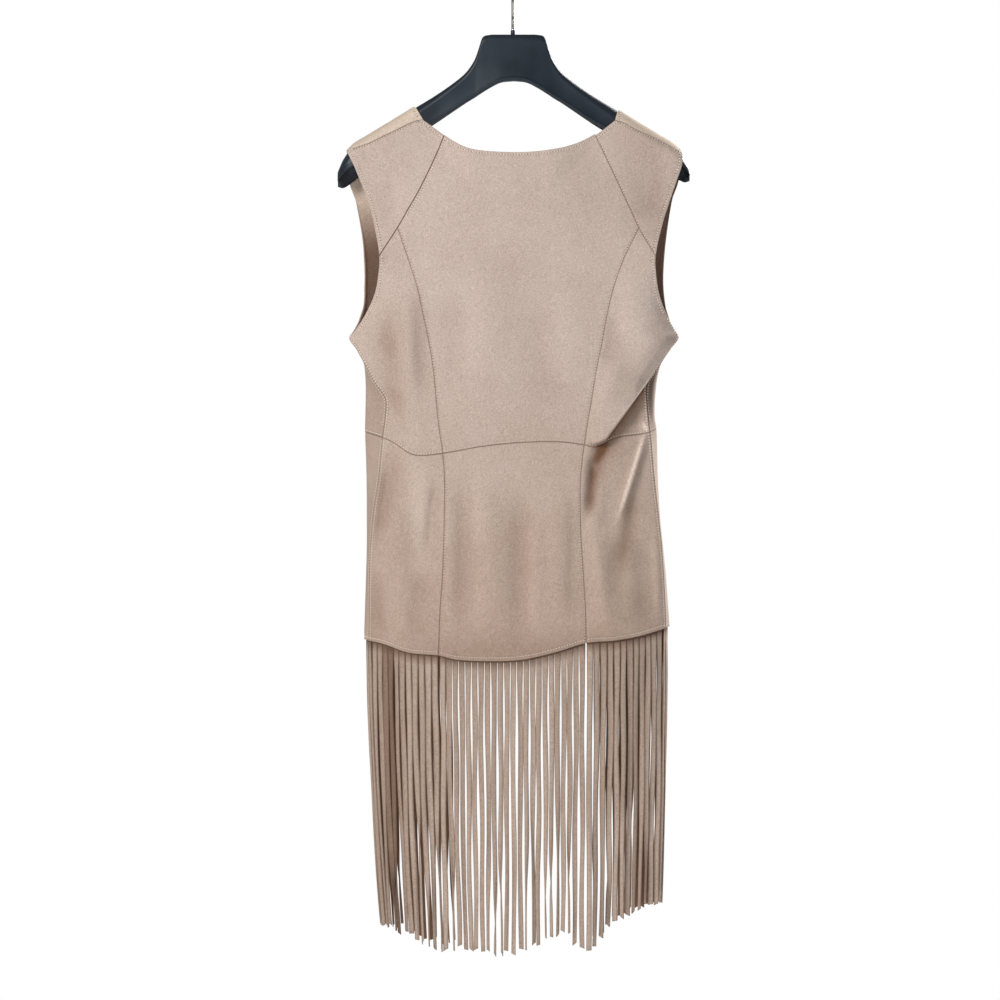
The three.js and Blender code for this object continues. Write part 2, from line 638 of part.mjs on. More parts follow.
// A ribbon that hangs from root, its breadth along the hem's direction at first.
function ribbonGeometry({ root, direction, tipDrop, seed }) {
  const turn = wobble(seed, 1) * 1.15;
  const sway = wobble(Math.floor(seed / 3), 2) * 3;
  const away = wobble(Math.floor(seed / 4), 3) * 3;
  const rootAngle = Math.atan2(direction.y, direction.x);
  const positions = [];
  for (let k = 0; k <= STRAND_STEPS; k++) {
    const s = k / STRAND_STEPS;
    const angle = rootAngle + turn * smooth((s - 0.08) / 0.92);
    const along = new THREE.Vector2(Math.cos(angle), Math.sin(angle));
    const through = new THREE.Vector2(-along.y, along.x);
    const middle = new THREE.Vector2(
      root.x + (sway * direction.x + leanAt(root.x)) * s * s,
      root.y + (sway * direction.y + away) * s * s,
    );
    const breadth = (STRAND_WIDTH / 2) * mix(1, 0.82, s);
    for (const [u, v] of [[-1, -1], [1, -1], [1, 1], [-1, 1]]) {
      const p = middle.clone().addScaledVector(along, u * breadth);
      p.addScaledVector(through, (v * STRAND_THICK) / 2);
      positions.push(p.x, p.y, mix(root.z, -tipDrop, s));
    }
  }
  const index = [0, 1, 2, 0, 2, 3];
  for (let k = 0; k < STRAND_STEPS; k++) {
    for (let c = 0; c < 4; c++) {
      const a = 4 * k + c;
      const b = 4 * k + ((c + 1) % 4);
      index.push(a, a + 4, b + 4, a, b + 4, b);
    }
  }
  const tip = 4 * STRAND_STEPS;
  index.push(tip, tip + 2, tip + 1, tip, tip + 3, tip + 2);
  const geometry = new THREE.BufferGeometry();
  geometry.setAttribute("position", new THREE.Float32BufferAttribute(positions, 3));
  geometry.setIndex(index);
  return geometry;
}

// hemPoint(s, below) is the wall's middle a distance below the hem, s from 0 to 1 along it.
function fringeGeometry({ hemPoint, seed, steps }) {
  const inside = WALL / 2 + FRINGE_CLEAR + STRAND_THICK / 2;
  const moved = (s, below) => {
    const here = hemPoint(s, Math.min(below, 0));
    const step = hemPoint(Math.min(1, s + 0.02), Math.min(below, 0));
    const back = hemPoint(Math.max(0, s - 0.02), Math.min(below, 0));
    const direction = new THREE.Vector2(step.x - back.x, step.y - back.y).normalize();
    const into = new THREE.Vector2(-direction.y, direction.x).multiplyScalar(inside);
    const point = new THREE.Vector3(here.x + into.x, here.y + into.y, here.z - Math.max(below, 0));
    return { point, direction };
  };
  const strip = wallGeometry(
    (a, b) => moved(a, mix(FRINGE_ROOT, -FRINGE_TOP, b)).point,
    [steps, 2],
    STRAND_THICK,
  );
  let length = 0;
  const marks = [{ s: 0, length: 0 }];
  for (let k = 1; k <= 60; k++) {
    length += moved(k / 60, 0).point.distanceTo(moved((k - 1) / 60, 0).point);
    marks.push({ s: k / 60, length });
  }
  const count = Math.floor(length / STRAND_PITCH);
  const pitch = length / count;
  let whole = asManifold(strip);
  for (let k = 0; k < count; k++) {
    const s = lookUp(marks, "length", "s", (k + 0.5) * pitch);
    const { point, direction } = moved(s, FRINGE_ROOT - 1);
    const tipDrop = across(strandTipRows, point.x) + 5 * wobble(seed + k, 4);
    whole = whole.add(asManifold(ribbonGeometry({ root: point, direction, tipDrop, seed: seed + k })));
  }
  return asGeometry(whole);
}

function asManifold(geometry) {
  const bare = geometry.clone();
  bare.deleteAttribute("normal");
  bare.deleteAttribute("uv");
  const merged = mergeVertices(bare, 1e-4);
  return new wasm.Manifold(
    new wasm.Mesh({
      numProp: 3,
      vertProperties: merged.attributes.position.array,
      triVerts: new Uint32Array(merged.index.array),
    }),
  );
}

function asGeometry(manifold) {
  const mesh = manifold.getMesh();
  const geometry = new THREE.BufferGeometry();
  geometry.setAttribute("position", new THREE.Float32BufferAttribute(mesh.vertProperties, 3));
  geometry.setIndex([...mesh.triVerts]);
  return geometry;
}

const backHemPoint = (from, to) => (s, below) => {
  const x = mix(from, to, s);
  return backPoint(x, hem(x) + below - SEAM_GAP / 2);
};
const frontHemPoint = (side) => (s, below) => {
  const t = frontParameter(side, s);
  const drop = frontSeamDrop(side, t, hemRows) + below - SEAM_GAP / 2;
  const { x, y } = frontLevel(side, t, drop);
  return vector(x, y, drop);
};
const fringes = [
  { name: "back_center", hemPoint: backHemPoint(-88, 86.8), seed: 11, steps: 14 },
  { name: "back_left", hemPoint: backHemPoint(-170.5, -89.4), seed: 101, steps: 11 },
  { name: "back_right", hemPoint: backHemPoint(88.2, 180.5), seed: 201, steps: 11 },
  { name: "front_left", hemPoint: frontHemPoint("left"), seed: 301, steps: 12 },
  { name: "front_right", hemPoint: frontHemPoint("right"), seed: 401, steps: 12 },
];
for (const { name, hemPoint, seed, steps } of fringes)
  addPart(`fringe_${name}`, fringeGeometry({ hemPoint, seed, steps }), "fringeSuede");

// Hanger: sections across the arm, each an arch with a hollow underneath.
const ARCH_POINTS = 5;
function archSection(x) {
  const ridge = arm(x, "ridge");
  const near = arm(x, "nearEdge");
  const far = arm(x, "farEdge");
  const half = arm(x, "halfDepth");
  const bow = arm(x, "bow");
  const crown = crownHeight(x);
  const inHalf = Math.max(1.5, half - ARM_WALL);
  // The hollow is a shallow groove under the middle block and full height in the arms.
  const fullHollow = near - ridge - ARM_WALL;
  const hollow = mix(GROOVE, fullHollow, smooth((Math.abs(x - ARM_SHIFT) - 55) / 30));
  const inTop = near - hollow;
  const inCrown = Math.min(crown, hollow * 0.6);
  const section = [];
  for (let k = 0; k <= ARCH_POINTS; k++) {
    const angle = (Math.PI * k) / ARCH_POINTS;
    section.push([bow - half * Math.cos(angle), ridge + crown * (1 - Math.sin(angle))]);
  }
  section.push([bow + half, far], [bow + inHalf, far]);
  for (let k = ARCH_POINTS; k >= 0; k--) {
    const angle = (Math.PI * k) / ARCH_POINTS;
    section.push([bow - inHalf * Math.cos(angle), inTop + inCrown * (1 - Math.sin(angle))]);
  }
  section.push([bow - inHalf, near], [bow - half, near]);
  return section.map(([y, drop]) => vector(x, y, drop));
}

function loftGeometry(sections) {
  const sides = sections[0].length;
  const positions = sections.flat().flatMap((p) => p.toArray());
  const index = [];
  for (let k = 0; k + 1 < sections.length; k++) {
    for (let c = 0; c < sides; c++) {
      const a = k * sides + c;
      const b = k * sides + ((c + 1) % sides);
      index.push(a, a + sides, b + sides, a, b + sides, b);
    }
  }
  // The sections run clockwise seen from +X, so a cap's triangles are turned to suit its end.
  for (const [k, faces] of [[0, -1], [sections.length - 1, 1]]) {
    const flat = sections[k].map((p) => new THREE.Vector2(p.y, p.z));
    for (const [a, b, c] of THREE.ShapeUtils.triangulateShape(flat, [])) {
      const turns = Math.sign(THREE.ShapeUtils.area([flat[a], flat[b], flat[c]]));
      const [second, third] = turns === faces ? [b, c] : [c, b];
      index.push(k * sides + a, k * sides + second, k * sides + third);
    }
  }
  const geometry = new THREE.BufferGeometry();
  geometry.setAttribute("position", new THREE.Float32BufferAttribute(positions, 3));
  geometry.setIndex(index);
  return geometry;
}

const LONGEST_STEP = 20; // rows further apart than this get a section between them
const rowReaches = armRows.map((row) => row.reach);
const reaches = rowReaches.flatMap((reach, i) => {
  const before = rowReaches[i - 1];
  return i > 0 && reach - before > LONGEST_STEP ? [(reach + before) / 2, reach] : [reach];
});
const stations = [...reaches.slice(1).reverse().map((reach) => -reach), ...reaches];
const SOCKET_DEEP = 18;
const socketRadius = HOOK_WIRE / 2 + SEAM_GAP;
const hookSocket = new THREE.CylinderGeometry(socketRadius, socketRadius, 2 * SOCKET_DEEP, 16);
hookSocket.rotateX(Math.PI / 2).translate(0, 0, -HANGER_TOP);
const hanger = asManifold(loftGeometry(stations.map((reach) => archSection(reach + ARM_SHIFT))));
addPart("hanger_arms", asGeometry(hanger.subtract(asManifold(hookSocket))), "hangerPlastic");

// Hook: one wire, turned so that it is seen edge on from the back. It bends round the
// rail and comes back to its own stem, which goes down into the hanger's socket.
const BEND_START = -35;
const BEND_SWEEP = 250;
const BEND_POINTS = 12;
const stemRows = [
  { y: -9, drop: 36.5 },
  { y: -2.6, drop: 43 },
  { y: 0, drop: 52 },
  { y: 0, drop: 64 },
  { y: 0, drop: HANGER_TOP + SOCKET_DEEP - 1 },
];
const bendDrop = HOOK_BEND - HOOK_WIRE / 2;
const wire = [];
for (let k = 0; k <= BEND_POINTS; k++) {
  const angle = THREE.MathUtils.degToRad(BEND_START + (BEND_SWEEP * k) / BEND_POINTS);
  wire.push(vector(0, HOOK_BEND * Math.cos(angle), bendDrop - HOOK_BEND * Math.sin(angle)));
}
for (const { y, drop } of stemRows) wire.push(vector(0, y, drop));
const wirePath = new THREE.CatmullRomCurve3(wire, false, "centripetal");
const wireSection = new THREE.Shape().absarc(0, 0, HOOK_WIRE / 2, 0, Math.PI * 2);
const hookGeometry = new THREE.ExtrudeGeometry(wireSection, {
  extrudePath: wirePath,
  steps: 30,
  curveSegments: 4,
  bevelEnabled: false,
});
addPart("hanger_hook", hookGeometry, "hookSteel");

export default vest;
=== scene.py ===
# A long suede vest with a fringed hem on a moulded plastic hanger, seen from the back.
# Shapes are worked out in millimetres as x, y and drop (the depth below the rail), and
# turned to metres when they are put into a mesh.
import bpy
import mathutils
import numpy as np
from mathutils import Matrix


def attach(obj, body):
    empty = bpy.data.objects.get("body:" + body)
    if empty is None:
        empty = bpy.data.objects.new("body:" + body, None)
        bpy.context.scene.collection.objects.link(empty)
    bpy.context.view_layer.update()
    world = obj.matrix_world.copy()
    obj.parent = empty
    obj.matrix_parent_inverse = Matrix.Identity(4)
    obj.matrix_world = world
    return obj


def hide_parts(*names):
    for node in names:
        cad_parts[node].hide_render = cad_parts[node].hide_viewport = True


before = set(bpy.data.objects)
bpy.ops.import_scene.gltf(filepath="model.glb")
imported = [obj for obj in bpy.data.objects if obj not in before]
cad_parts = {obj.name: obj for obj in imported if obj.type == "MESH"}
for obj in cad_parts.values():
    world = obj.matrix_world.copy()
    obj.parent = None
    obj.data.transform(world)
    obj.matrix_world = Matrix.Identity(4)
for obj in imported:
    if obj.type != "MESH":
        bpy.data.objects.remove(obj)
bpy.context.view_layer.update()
mm = 0.001
print("Frame loaded:", len(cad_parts), "nodes")

cloth = {
    "wall": 1.6,           # suede with its turned edges
    "gap": 0.2,            # between two panels' edges at a seam, half on each side
    "grid": 2.6,           # spacing of the points of a panel
    "seamRoll": 0.45,      # how far a panel's edge rolls down into its seam
    "seamRollWidth": 0.9,
    "stitchGroove": 0.32,  # how deep a row of topstitching pulls the suede down
    "pucker": 0.4,         # height of the ripples that sewing leaves beside a seam
    "turnedBand": 11,      # width of the edge turned to the inside
    "turnedStep": 0.7,
    "seamShade": 0.6,       # painted shade in the seams
    "shadeWidth": 1.5,
    "tuck": 0.12,          # how far the insides of two panels reach past their seam
}
hangerSizes = {
    "clear": 0.9,          # plastic to cloth
    "tipClear": 2.9,
    "wall": 3,
    "reach": 212.5,        # from the middle to a tip
    "tipRound": 2,
    "shift": 1,            # the arms end a little further out on the right
    "groove": 3,
    "rimHigh": 5.5,        # the thick lower rim of the arms
    "rimOut": 1.1,
    "top": 60,
    "stations": 320,
    "crownPoints": 14,
}
# The real stitches are 2.4 mm apart with thread 0.5 mm thick, which is too fine to show at
# this distance, so they are drawn further apart and a little thicker. On a sunk row the
# thread is pulled into the nap and the needle holes' painted shade shows more.
sewing = {
    "pitch": 3.4,
    "length": 1.8,
    "raised": {"thread": 0.55, "hole": 0.7},
    "sunk": {"thread": 0.3, "hole": 0.75},
    "grooveShade": 0.15,    # painted shade along a row's groove
}
fringe = {
    "top": 9,              # the strip reaches this far up behind the hem
    "root": 2,             # uncut strip below the hem
    "clear": 1,
    "pitch": 7.6,
    "width": 6.6,
    "widthBeside": 7.2,    # those beside the middle ones hang closer together
    "middle": (-82, 84),   # between these x
    "slit": -141,          # light shows through a gap at this x, as strands are narrower
    "slitWide": 5,
    "dark": -149,          # and those by this x hang in shade
    "darkWide": 7,
    "thick": 1.1,
    "steps": 40,
    # The strip is painted dark: the painted shadow line that shows just under the hem.
    "stripShade": 0.1,
    "leanLeft": (16.5, 173),    # how far a strand's tip hangs inwards, at this far out
    "leanRight": (-6, 184),
}


# Arithmetic on whole arrays

# From a to b by the share t.
def mix(a, b, t):
    return a + (b - a) * t


def clamp01(t):  # t held between 0 and 1
    return np.clip(t, 0, 1)


def smooth(t):  # 3t2 - 2t3, held at 0 and 1 outside
    t = clamp01(t)
    return t * t * (3 - 2 * t)


def bell(distance):  # 1 in the middle and a bell curve's fall on both sides
    return np.exp(-distance ** 2)


# Cubic between two values a span apart with given slopes, at share t of the span.
def cubic(first, firstSlope, last, lastSlope, span, t):
    t2, t3 = t * t, t * t * t
    return (first * (2 * t3 - 3 * t2 + 1) + firstSlope * span * (t3 - 2 * t2 + t)
            + last * (3 * t2 - 2 * t3) + lastSlope * span * (t3 - t2))


# Rows of numbers as one array for each named column.
def table(columns, *rows):
    return dict(zip(columns.split(), np.array(rows, float).T))


# Value of one column at a key: a cubic between the two rows around it, whose slope at
# each row is that of the chord between the rows beside it.
def lookUp(rows, keyColumn, valueColumn, key):
    keys, values = rows[keyColumn], rows[valueColumn]
    number = np.arange(len(keys))
    before, after = np.maximum(number - 1, 0), np.minimum(number + 1, number[-1])
    slopes = (values[after] - values[before]) / (keys[after] - keys[before])
    i = np.clip(np.searchsorted(keys, key, side="right") - 1, 0, len(keys) - 2)
    span = keys[i + 1] - keys[i]
    t = clamp01((key - keys[i]) / span)
    return cubic(values[i], slopes[i], values[i + 1], slopes[i + 1], span, t)


# Soft value between -1 and 1 that changes over about one unit of u: three sines whose
# lengths don't fit each other, so the pattern doesn't repeat in a seam's length.
def ripple(u, phase):
    return (np.sin(u * 2.1 + phase) + np.sin(u * 3.7 + phase * 2.3) * 0.7
            + np.sin(u * 1.13 + phase * 1.7) * 0.8) / 2.5


# The same wobble each run, -1 to 1, for a whole number and a purpose: the fraction of a
# large sine.
def wobble(number, purpose):
    s = np.sin(number * 12.9898 + purpose * 78.233) * 43758.5453
    return 2 * (s - np.floor(s)) - 1


# Outlines and seams, seen from the back: left is -X, a drop is the depth below the rail

# Heights of the hanger's arm by the distance from its middle.
armRows = table(
    "reach ridge nearEdge farEdge halfDepth bow",
    [0, 60, 116, 116, 6, 0],
    [16, 60, 118, 118, 6, 0],
    [30, 60.5, 125, 125, 6, 0],
    [38, 64, 130, 130, 6, 0],
    [42, 76, 132.5, 132.5, 6, 0],
    [47, 90, 136, 136, 6, 0],
    [57, 105, 142, 142, 6.3, 0],
    [72, 118, 152, 152, 7, 0],
    [96, 134.5, 167.5, 168, 8.5, 1],
    [121, 149.5, 181, 183, 11.5, 3],
    [150, 167, 198, 202, 16, 7],
    [180, 185, 213, 224, 21, 12],
    [198, 199, 222, 238, 22, 15],
    [206.5, 211, 229, 243, 19, 16],
    [212.5, 225, 236, 242, 12, 16],
)
backEdgeRows = table(
    "drop left right",
    [200, -200.6, 203.5],
    [218, -191.5, 203],
    [236, -184.1, 197],
    [264, -173.5, 187.5],
    [289, -167, 179.5],
    [328, -160.3, 171],
    [354, -162.1, 172],
    [374, -166.4, 175.5],
    [397, -177, 184],
    [416, -189.4, 194],
    [425, -196.6, 198.8],
    [438, -188.4, 189.5],
    [459, -176.5, 175],
    [479, -165.8, 162],
    [498, -153, 160.5],
    [520, -153, 162],
    [546, -156.1, 165],
    [597, -161.5, 169.5],
    [640, -168, 174.5],
    [700, -172, 180],
    [795, -173, 184.5],
)
underarmDrop = 425
armholeTurnDrop = 385      # below it the front's armhole turns out to the underarm
frontEdgeRows = table(
    "drop left right",
    [200, -200.6, 203.5],
    [242, -193.5, 196],
    [264, -188.3, 191],
    [303, -181.5, 185],
    [335, -179, 182],
    [361, -178.8, 181.5],
    [384, -179.8, 183.8],
    [403, -184.6, 188],
    [414, -189.5, 193],
    [425, -196.6, 198.8],
)
silhouetteRows = table(
    "drop left right",
    [425, -184, 188],
    [450, -178, 178],
    [480, -176.8, 172.5],
    [517, -177.3, 170],
    [537, -177.6, 172.5],
    [586, -176, 173.4],
    [640, -175, 175.5],
    [680, -174.6, 179.5],
    [715, -175.5, 183],
    [775, -177.6, 187.5],
)
frontOpeningRows = table(
    "drop left right",
    [150, -123.6, 129.8],
    [200, -112, 121],
    [330, -96, 110],
    [560, -82, 101],
    [800, -73, 97],
)
princessRows = table(
    "drop left right",
    [294, -138.2, 151],
    [330, -126.1, 133.5],
    [363, -115.4, 121.5],
    [398, -107.6, 112.8],
    [432, -100.4, 106.5],
    [466, -95, 99.7],
    [500, -91.9, 94.3],
    [530, -89, 89],
    [560, -84.6, 84.6],
    [597, -81.8, 80.9],
    [650, -82.2, 80.9],
    [715, -84.4, 84.6],
    [757, -87.4, 87],
    [800, -88.7, 87.4],
)
raglanRows = table(
    "drop left right",
    [182, -82.2, 98.9],
    [210, -94, 112.5],
    [247, -111.6, 129.5],
    [272, -125.6, 141],
    [294, -138.2, 151],
    [328, -160.3, 171],
)
princessDrop = 294
armholeRaglanDrop = 328
necklineRows = table(
    "x drop",
    [-107.6, 163.4],
    [-82.2, 182],
    [-59.6, 195.4],
    [-37.8, 200.8],
    [8.4, 202.9],
    [45.5, 199.6],
    [74.4, 192.4],
    [98.9, 180.4],
    [122.6, 164.2],
)
shoulderSeamRows = table(
    "x drop",
    [-200.6, 200.5],
    [-175, 192.5],
    [-150, 180.5],
    [-107.6, 163.4],
    [122.6, 164.2],
    [150, 176.5],
    [178, 189.5],
    [203.5, 204],
)
waistRows = table(
    "x drop",
    [-177.6, 538],
    [-156, 545.4],
    [-141, 552.5],
    [-126, 563],
    [-113, 567],
    [-84.6, 564.5],
    [-36, 556],
    [8.4, 551.5],
    [55, 550.6],
    [84.6, 554],
    [100, 556.5],
    [124, 545.5],
    [160, 540],
    [174, 533],
)
hemRows = table(
    "x drop",
    [-177.6, 788.6],
    [-154, 793.6],
    [-126, 803],
    [-88.7, 806.5],
    [-70, 811],
    [-36, 813],
    [8.4, 811.6],
    [48.7, 803],
    [87.4, 791.5],
    [121.6, 788.6],
    [151.6, 783.4],
    [187.5, 773],
)
depthRows = table(
    "drop back backSide sideSeam silhouette front",
    [150, -11, -20, -12, 6, 14],
    [205, -22, -22, -14, 10, 24],
    [300, -31, -27, -16, 14, 34],
    [425, -38, -33, -9, 14, 42],
    [500, -37, -33, -13, 14, 44],
    [560, -35, -32, -16, 14, 42],
    [660, -42, -38, -18, 14, 45],
    [800, -47, -41, -8, 12, 49],
)
strandTipRows = table(
    "x drop",
    [-178, 1128],
    [-150, 1136],
    [-128, 1146],
    [-96, 1154],
    [-50, 1160],
    [8, 1158],
    [40, 1144],
    [70, 1140],
    [86, 1164],
    [104, 1146],
    [125, 1126],
    [150, 1112],
    [186, 1102],
)
shoulderEnds = {"left": (-200.6, -123.6), "right": (203.5, 129.8)}  # tip, neck
seamNeck = {"left": -107.6, "right": 122.6}
frontRise = 0.68           # share of a front below the hanger's ridge


# The drop of a seam that runs across, at x.
def across(rows, x):
    return lookUp(rows, "x", "drop", x)


# The x of an edge that runs down, at a drop.
def edgeX(rows, side, drop):
    return lookUp(rows, "drop", side, drop)


# How far one line of the vest stands in front of the hanger's middle plane, at a drop.
def depthOf(column, drop):
    return lookUp(depthRows, "drop", column, drop)


rightTip = {"start": 190, "over": 14, "nearEdge": 7, "farEdge": 7}  # its lower edges are higher


# One of the arm's heights or depths at x, the same on both sides but for the right tip.
def arm(x, column):
    lift = rightTip.get(column, 0) * smooth((x - rightTip["start"]) / rightTip["over"])
    return lookUp(armRows, "reach", column, np.abs(x - hangerSizes["shift"])) - lift


# The arm's top is half an ellipse, taller towards the tips and never over 0.6 of the arm.
def crownHeight(x):
    reach = np.abs(x - hangerSizes["shift"])
    tall = mix(8, 17, smooth((reach - 60) / 110))
    return np.minimum(tall, (arm(x, "nearEdge") - arm(x, "ridge")) * 0.6)


# From the plastic to the middle of the cloth that lies on it.
def layOff(x):
    near = smooth((np.abs(x - hangerSizes["shift"]) - 175) / 20)
    return mix(hangerSizes["clear"], hangerSizes["tipClear"], near) + cloth["wall"] / 2


# Half an ellipse over the arm, from the crown's foot up to the ridge.
def onCrown(x, drop):
    top = arm(x, "ridge") - layOff(x)
    tall = crownHeight(x) + layOff(x)
    up = clamp01((top + tall - drop) / tall)
    return (arm(x, "halfDepth") + layOff(x)) * np.sqrt(1 - up * up)


# Folds of the back, each along a line. height is outwards, width is half the breadth of
# its steep side and soft how many times broader its other side is.
backFolds = table(
    "x0 drop0 x1 drop1 width height soft",
    [-150, 555, -163, 690, 9, -7, 1.6],
    [-163, 690, -166, 800, 9, -5, 1.6],
    [-138, 610, -142, 790, 15, 5, 1.2],
    [-92, 585, -104, 700, 6, -4.5, 2.6],
    [-104, 690, -124, 800, 13, -4, 1.4],
    [-108, 560, -120, 640, 12, 3, 1.3],
    [-150, 548, -136, 600, 7, -2.5, 2],
    [-128, 350, -120, 520, 12, 4.5, 1.4],
    [-152, 385, -140, 520, 10, -4, 1.5],
    [-112, 395, -106, 520, 9, -3, 1.8],
    [-150, 480, -122, 545, 5, -2.2, 2.4],
    [-162, 440, -128, 500, 12, 2.2, 1.4],
    [-132, 505, -106, 548, 9, 2.4, 1.5],
    [-58, 575, -62, 800, 14, -4.5, 1.4],
    [-34, 570, -28, 800, 16, 4, 1.2],
    [-76, 600, -74, 800, 8, 2.2, 1.5],
    [10, 590, 4, 810, 13, -4, 1.5],
    [30, 610, 26, 800, 9, 2.4, 1.6],
    [56, 590, 54, 790, 15, 4, 1.2],
    [72, 590, 70, 780, 6, -1.6, 2],
    [97, 556, 90, 650, 6, -10, 1.9],
    [104, 585, 96, 665, 8, 4, 1.2],
    [98, 640, 116, 792, 10, 5.5, 1.7],
    [126, 650, 118, 770, 13, -4.5, 1.3],
    [163, 530, 121, 655, 3.2, 8.5, 2.2],
    [150, 600, 132, 700, 9, -3.5, 1.4],
    [152, 640, 157, 780, 11, -4, 1.6],
    [172, 640, 176, 780, 6, 2.5, 1.4],
    [146, 335, 140, 440, 13, 4, 1.3],
    [124, 385, 112, 470, 8, -3, 1.8],
    [164, 375, 152, 450, 12, 2.4, 1.4],
    [180, 415, 140, 470, 10, 2.5, 1.5],
    [126, 450, 106, 520, 10, 2.6, 1.4],
    [-26, 330, -40, 520, 22, 2.4, 1.3],
    [34, 360, 44, 530, 24, -2.2, 1.3],
    [72, 340, 66, 500, 20, 2.2, 1.3],
    [-70, 350, -66, 500, 18, -2, 1.4],
    [4, 300, 0, 470, 26, -1.8, 1.2],
    [-120, 225, -132, 300, 16, 2.2, 1.3],
    [-150, 225, -150, 300, 13, -1.8, 1.4],
    [136, 215, 150, 300, 15, 2.2, 1.3],
    [170, 225, 166, 290, 12, -1.8, 1.4],
)
# Painted shade in folds and under the overhang, and painted highlights along lit creases
# and puckers, each along a line in the same way: height is the change of tone.
shadeAndHighlightMarks = table(
    "x0 drop0 x1 drop1 width height soft",
    [115, 548, 93, 580, 5, -0.5, 1.3],
    [96, 566, 91, 650, 3.6, -0.45, 1.9],
    [164, 530, 128, 660, 3, -0.25, 2],
    [178, 455, 104, 556.75, 1.1, 0.9, 1],
    [162, 528, 122, 654, 1.5, 1.1, 1],
    [142, 600, 126, 720, 9, -0.3, 1.3],
    [155, 526, 163, 542, 2, 0.8, 1.2],
    [160, 130, 164, 330, 34, -0.2, 1],
    [-150, 340, -146, 580, 20, -0.2, 1.4],
    [-118, 350, -112, 500, 7, -0.15, 1.6],
    [166, 330, 150, 470, 18, 0.16, 1],
    [-132, 540, -134, 760, 16, -0.1, 1.4],
    [0, 440, 0, 600, 60, -0.07, 1],
    [-190, 806, 200, 800, 26, -0.24, 1],
    [-114, 560, -104, 730, 15, 0.28, 1.2],
    [146, 620, 152, 760, 20, 0.14, 1],
)

# The right side hangs over itself along a slanting line that starts at the side seam.
overhang = {"x": 165, "drop": 473, "slope": 1.375, "lift": 9, "sink": 17, "edge": 2.2}
toneRange = (0.05, 1.8)    # the darkest painted shade and the palest painted highlight


# A fold falls off on each side of its line as a bell curve, broader on the soft side, and
# fades over a third of its length at both ends.
def foldsAt(x, drop, folds=backFolds):
    total = np.zeros_like(x)
    for x0, drop0, x1, drop1, width, height, soft in zip(*folds.values()):
        alongX, alongDrop = x1 - x0, drop1 - drop0
        length2 = alongX ** 2 + alongDrop ** 2
        along = ((x - x0) * alongX + (drop - drop0) * alongDrop) / length2
        off = ((x - x0) * alongDrop - (drop - drop0) * alongX) / np.sqrt(length2)
        ends = smooth(along / 0.35) * smooth((1 - along) / 0.35)
        breadth = np.where(off > 0, width * soft, width)
        total += height * ends * bell(off / breadth)
    return total


# Where the overhang's lower edge is: a slanting line that stays above the waist seam.
def overhangDrop(x):
    line = overhang["drop"] + (overhang["x"] - x) * overhang["slope"]
    return np.minimum(line, across(waistRows, x) - 4)


# The cloth swells towards the overhang's edge, steps in under it and swells back below.
def overhangAt(x, drop):
    below = (drop - overhangDrop(x)) / np.sqrt(1 + overhang["slope"] ** 2)
    along = clamp01((overhang["x"] - x) / 62)
    ends = smooth((x - 90) / 22) * smooth((212 - x) / 30)
    over = np.exp(-np.maximum(0, -below) / 40) * overhang["lift"] * mix(1, 0.5, along)
    under = -np.exp(-np.maximum(0, below) / 34) * overhang["sink"] * mix(1, 0.55, along)
    return ends * mix(over, under, smooth(below / overhang["edge"] + 0.5))


# Painted shade in the hollows of folds and most under the overhang, and painted highlights
# along the sharpest creases.
def paintedShadeAndHighlight(x, drop):
    hollow = np.exp(-0.05 * np.maximum(0, -foldsAt(x, drop)))
    below = (drop - overhangDrop(x)) / np.sqrt(1 + overhang["slope"] ** 2)
    ends = smooth((x - 88) / 16)
    under = np.exp(-np.maximum(0, below) / 15) * smooth(below / overhang["edge"] + 0.5) * ends
    return np.clip(hollow * (1 - under) + foldsAt(x, drop, shadeAndHighlightMarks), *toneRange)


# Painted shade on the fronts beside the side seams, most under the right arm.
def sideShade(x, y, drop):
    near = smooth((10 - y) / 12)
    underArm = np.exp(-((drop - 486) / 44) ** 4) * (x > 0)
    left = 0.1 * np.exp(-((drop - 480) / 80) ** 4) * (x < 0)
    return 1 - near * (underArm + left)


# Painted shade on the inside of the fronts beside the armholes, towards the underarm.
def insideShade(x, drop):
    left = smooth((drop - 225) / 105)
    right = smooth((drop - 190) / 20)
    return 1 - 0.82 * np.where(x < 0, left, right)


# The back's surface, as y for places seen from behind: over the arms half an ellipse, and
# below them a broad curve from the middle to the side seams, with the folds on it.
def backDepth(x, drop):
    edges = [edgeX(backEdgeRows, side, np.maximum(drop, 200)) for side in ("left", "right")]
    seams = [edgeX(princessRows, side, np.maximum(drop, princessDrop)) for side in ("left", "right")]
    outer, seam = np.where(x < 0, *edges), np.where(x < 0, *seams)
    middle, flank = depthOf("back", drop), depthOf("backSide", drop)
    sideSeam = mix(flank, depthOf("sideSeam", drop), smooth((drop - 330) / 95))
    share = np.abs(x / seam)
    out = clamp01((x - seam) / (outer - seam))
    hang = np.where(share < 1, mix(middle, flank, share ** 2), mix(flank, sideSeam, out ** 2.4))
    room = smooth((drop - 205) / 60) * clamp01((np.abs(outer) - np.abs(x)) / 12 + 0.15)
    hang = hang - foldsAt(x, drop) * room
    hang = hang - overhangAt(x, drop) * clamp01((np.abs(outer) - np.abs(x)) / 16 + 0.1)
    onArm = arm(x, "bow") - onCrown(x, drop)
    free = smooth((drop - arm(x, "nearEdge") - 3) / 120)
    overNeck = smooth((110 - np.abs(x - hangerSizes["shift"])) / 70)
    return mix(onArm, hang, np.maximum(free, overNeck))


frontKnots = np.array([0, 0.22, 0.45, 0.72, 1])     # shares of a level of a front


